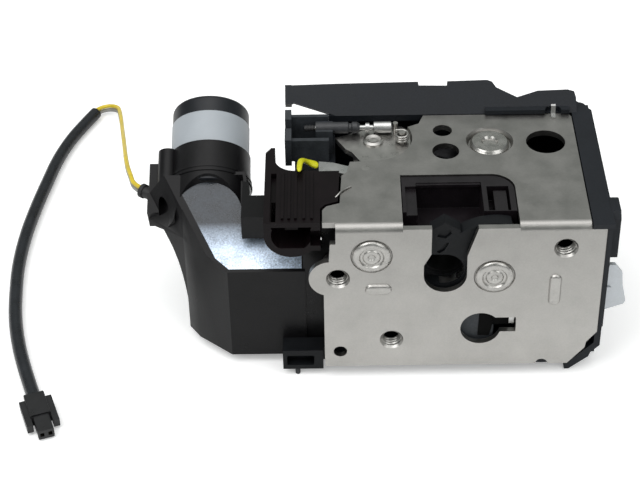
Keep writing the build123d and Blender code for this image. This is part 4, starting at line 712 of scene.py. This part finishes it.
RIVET = [(0, -0.35), (0.9, -0.35), (1.4, -0.85), (2.6, -0.85), (3.1, -0.4), (3.8, -0.4), (4.3, -1.15),
         (5.25, -1.15), (6.1, -0.75), (6.45, -0.2), (6.45, 0.35), (4.0, 0.4), (4.0, 8.8), (3.0, 8.8),
         (3.0, 16.6), (4.6, 16.6), (4.2, 17.8), (0, 17.8)]
for name, axis, mat in (("claw_rivet", CLAW_AXIS, ZINC_CLAW), ("pawl_rivet", PAWL_AXIS, ZINC_PAWL)):
    rivet = turned(*axis, RIVET)
    dress(rivet, f"{name}_turned", mat, 0.12)
    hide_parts(name)


# Threads of the three fixing holes, M8 coarse, and a near-black cup behind each, painted shade in the hole's
# depth
THREAD_R = 3.45
THREAD_DEPTH = 4.4
PITCH_M8 = 1.25


def thread(name, x, z, core, depth, pitch=PITCH_M8, rise=0.5):
    """Ribbon that winds round the bore's wall and stands rise millimetres into it."""
    steps = 40
    verts = []
    faces = []
    rows = int(depth / pitch * steps)
    for i in range(rows + 1):
        a = 2 * pi * i / steps
        y = 0.9 + pitch * i / steps
        for dy, r in ((-0.5, core + 0.05), (-0.1, core - rise), (0.1, core - rise), (0.5, core + 0.05)):
            verts.append(at(x + r * cos(a), y + dy, z + r * sin(a)))
        if i:
            b = 4 * i
            for k in range(3):
                faces.append((b + k - 4, b + k - 3, b + k + 1, b + k))
    mesh_piece(name, verts, faces, ZINC_PART, "base")


for i, (x, z) in enumerate(FIXINGS):
    thread(f"thread_{i + 1}", x, z, THREAD_R, THREAD_DEPTH)
    # Painted shade: a near-black matte cup closes the hole behind its thread
    bore = turned(x, z, [(3.4, 4.9), (3.35, 5.0), (3.35, 8.0), (0, 8.2)], 40)
    dress(bore, f"bore_{i + 1}", DARK_BORE, 0)

# Dark jacket on the rod's far end, where the handle's cable takes over
ROD_Y = 56.5
ORIGIN = at(0, 0, 0)
rod_z = (middle("pull_rod")[2] - ORIGIN.z) * 1000
rod_tip = (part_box("pull_rod")[0][0] - ORIGIN.x) * 1000
bush_end = (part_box("cable_bush")[0][0] - ORIGIN.x) * 1000
jacket = prism(side, circle(ROD_Y, rod_z, 1.0, 24), rod_tip + 0.01, bush_end - 0.1)
join(jacket, *[prism(side, circle(ROD_Y, rod_z, 1.15, 24), x, x + 0.5)
               for x in (rod_tip + 0.6, rod_tip + 1.6, rod_tip + 2.6)])
dress(jacket, "rod_jacket", RUBBER, 0.1, "pull_rod")


def bead(name, x, z, length, width, upright, proud=1.0):
    """Pressed stiffening bead: a rounded bar that stands out of the face plate."""
    rows = 7
    count = 40
    verts = []
    faces = []
    for row in range(rows):
        t = row / (rows - 1) * pi / 2
        r = width / 2 * (0.25 + 0.75 * cos(t) ** 0.7 if row < rows - 1 else 0.25)
        y = -proud * sin(t) ** 1.6
        for i in range(count):
            a = 2 * pi * i / count
            run = (length - width) / 2 * (1 if cos(a) >= 0 else -1)
            u, v = run + r * cos(a), r * sin(a)
            verts.append(at(x + (v if upright else u), y, z + (u if upright else v)))
    for row in range(rows - 1):
        for i in range(count):
            j = (i + 1) % count
            faces.append((row * count + i, row * count + j, (row + 1) * count + j, (row + 1) * count + i))
    faces.append(tuple(range((rows - 1) * count, rows * count)))
    mesh_piece(name, verts, faces, ZINC_PART, "base")


bead("bead_left", 18.8, 34.9, 9.2, 4.6, False)
bead("bead_right", 78.6, 33.8, 13.4, 4.2, True)

# Thin bright wire end that lies on the side plate
WIRE_END_ROUTE = ((3.4, 15.6, 61.0), (5.6, 17.8, 62.2), (6.9, 20.2, 62.2), (10.0, 22.6, 62.0))
cord_curve("wire_end", WIRE_END_ROUTE, 0.64, SPRING, 4)

# Yellow cap: a finger that curls up and forward from the lever's end. Each section has its middle,
# the half width across it and half its thickness
verts = []
faces = []
SECTIONS = (((-0.9, 39.7, 58.2), (0, 2.2, 0), 1.2), ((-3.6, 39.9, 58.9), (-0.3, 1.9, 0), 1.1),
            ((-5.9, 39.0, 61.0), (-1.2, 0.9, 0), 1.0), ((-7.2, 36.2, 63.4), (-1.2, 0.3, 0), 0.8),
            ((-7.6, 31.5, 64.2), (-1.05, 0, 0), 0.8), ((-7.6, 28.0, 64.3), (-0.95, 0, 0), 0.6))
LAST = len(SECTIONS) - 1
for i, (centre, across, half) in enumerate(SECTIONS):
    after = Vector(SECTIONS[min(i + 1, LAST)][0]) - Vector(SECTIONS[max(i - 1, 0)][0])
    normal = Vector(across).cross(after).normalized()
    if normal.z < 0:
        normal = -normal
    for a, b in ((-1, -1), (1, -1), (1, 1), (-1, 1)):
        verts.append(at(*(Vector(centre) + Vector(across) * a + normal * half * b)))
    if i:
        b = 4 * i
        for k in range(4):
            faces.append((b - 4 + k, b - 4 + (k + 1) % 4, b + (k + 1) % 4, b + k))
faces += [(3, 2, 1, 0), tuple(4 * LAST + k for k in range(4))]
cap = mesh_piece("yellow_finger", verts, faces, YELLOW, "lock_lever")
smooth = cap.modifiers.new("smooth", "SUBSURF")
smooth.levels = 2
smooth.render_levels = 2
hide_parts("lever_cap")

# The claw's rim is coated: beyond the steel core its finish turns to the moulded coat
CORE_R = 19.2
nodes, links = links_of(CLAW)
coord = nodes.new("ShaderNodeTexCoord")
flat = nodes.new("ShaderNodeMapping")
flat.inputs["Location"].default_value = (-at(CLAW_AXIS[0], 0, 0).x, 0, -at(0, 0, CLAW_AXIS[1]).z)
flat.inputs["Scale"].default_value = (1, 0, 1)
links.new(coord.outputs["Object"], flat.inputs["Vector"])
far = nodes.new("ShaderNodeVectorMath")
far.operation = "LENGTH"
links.new(flat.outputs["Vector"], far.inputs[0])
beyond = nodes.new("ShaderNodeMath")
beyond.operation = "GREATER_THAN"
beyond.inputs[1].default_value = CORE_R / 1000
links.new(far.outputs["Value"], beyond.inputs[0])
moulded = nodes.new("ShaderNodeBsdfPrincipled")
moulded.inputs["Base Color"].default_value = (*BLACK_TONE, 1)
moulded.inputs["Roughness"].default_value = 0.42
moulded.inputs["Specular IOR Level"].default_value = 0.15
both = nodes.new("ShaderNodeMixShader")
links.new(beyond.outputs["Value"], both.inputs["Fac"])
links.new(nodes["Principled BSDF"].outputs["BSDF"], both.inputs[1])
links.new(moulded.outputs["BSDF"], both.inputs[2])
links.new(both.outputs["Shader"], nodes["Material Output"].inputs["Surface"])

# Studio: a pale floor, a soft room that is darker near the horizon, and two large lamps
SKY_STRENGTH = 2.5
SKY = ((0.35, (0.12, 0.124, 0.124, 1)), (0.64, (0.136, 0.148, 0.138, 1)), (0.8, (0.28, 0.285, 0.285, 1)),
       (0.92, (0.5, 0.5, 0.5, 1)))
FLOOR_GLOW = 0.3
floor_mat = bpy.data.materials.new("floor_white")
nodes, links = links_of(floor_mat)
shader = nodes["Principled BSDF"]
shader.inputs["Base Color"].default_value = (0.93, 0.93, 0.93, 1)
shader.inputs["Roughness"].default_value = 0.9
shader.inputs["Specular IOR Level"].default_value = 0.1
shader.inputs["Emission Color"].default_value = (1, 1, 1, 1)
path = nodes.new("ShaderNodeLightPath")
glow = nodes.new("ShaderNodeMath")
glow.operation = "MULTIPLY"
glow.inputs[1].default_value = FLOOR_GLOW
links.new(path.outputs["Is Camera Ray"], glow.inputs[0])
links.new(glow.outputs["Value"], shader.inputs["Emission Strength"])
bpy.ops.mesh.primitive_plane_add(size=6, location=(0, 0, -0.0002))
floor = bpy.context.object
floor.name = "floor"
floor.data.materials.append(floor_mat)

world = bpy.data.worlds.new("studio")
bpy.context.scene.world = world
world.use_nodes = True
nodes, links = world.node_tree.nodes, world.node_tree.links
coord = nodes.new("ShaderNodeTexCoord")
split = nodes.new("ShaderNodeSeparateXYZ")
links.new(coord.outputs["Generated"], split.inputs["Vector"])
sky = nodes.new("ShaderNodeValToRGB")
sky.color_ramp.elements[0].position = 0.0
sky.color_ramp.elements[0].color = (0.095, 0.098, 0.1, 1)
sky.color_ramp.elements[1].position = 1.0
sky.color_ramp.elements[1].color = (1.0, 1.0, 1.0, 1)
for place, colour in SKY:
    stop = sky.color_ramp.elements.new(place)
    stop.color = colour
nodes["Background"].inputs["Strength"].default_value = SKY_STRENGTH
links.new(split.outputs["Z"], sky.inputs["Fac"])
path = nodes.new("ShaderNodeLightPath")
# A colour mix has its factor, A and B at 0, 6 and 7 and its result at 2
seen = nodes.new("ShaderNodeMix")
seen.data_type = "RGBA"
seen.inputs[7].default_value = (1, 1, 1, 1)
links.new(path.outputs["Is Camera Ray"], seen.inputs["Factor"])
links.new(sky.outputs["Color"], seen.inputs[6])
links.new(seen.outputs[2], nodes["Background"].inputs["Color"])


def lamp(name, place, target, size, power):
    data = bpy.data.lights.new(name, "AREA")
    data.shape = "RECTANGLE"
    data.size = size[0]
    data.size_y = size[1]
    data.energy = power
    obj = bpy.data.objects.new(name, data)
    bpy.context.collection.objects.link(obj)
    obj.location = place
    obj.rotation_euler = (Vector(target) - Vector(place)).to_track_quat("-Z", "Y").to_euler()


lamp("key", (-0.7, -0.5, 1.1), (0, 0, 0.03), (0.9, 0.9), 7.5)
lamp("fill", (0.8, -0.7, 0.8), (0, 0, 0.03), (0.8, 0.8), 3.5)
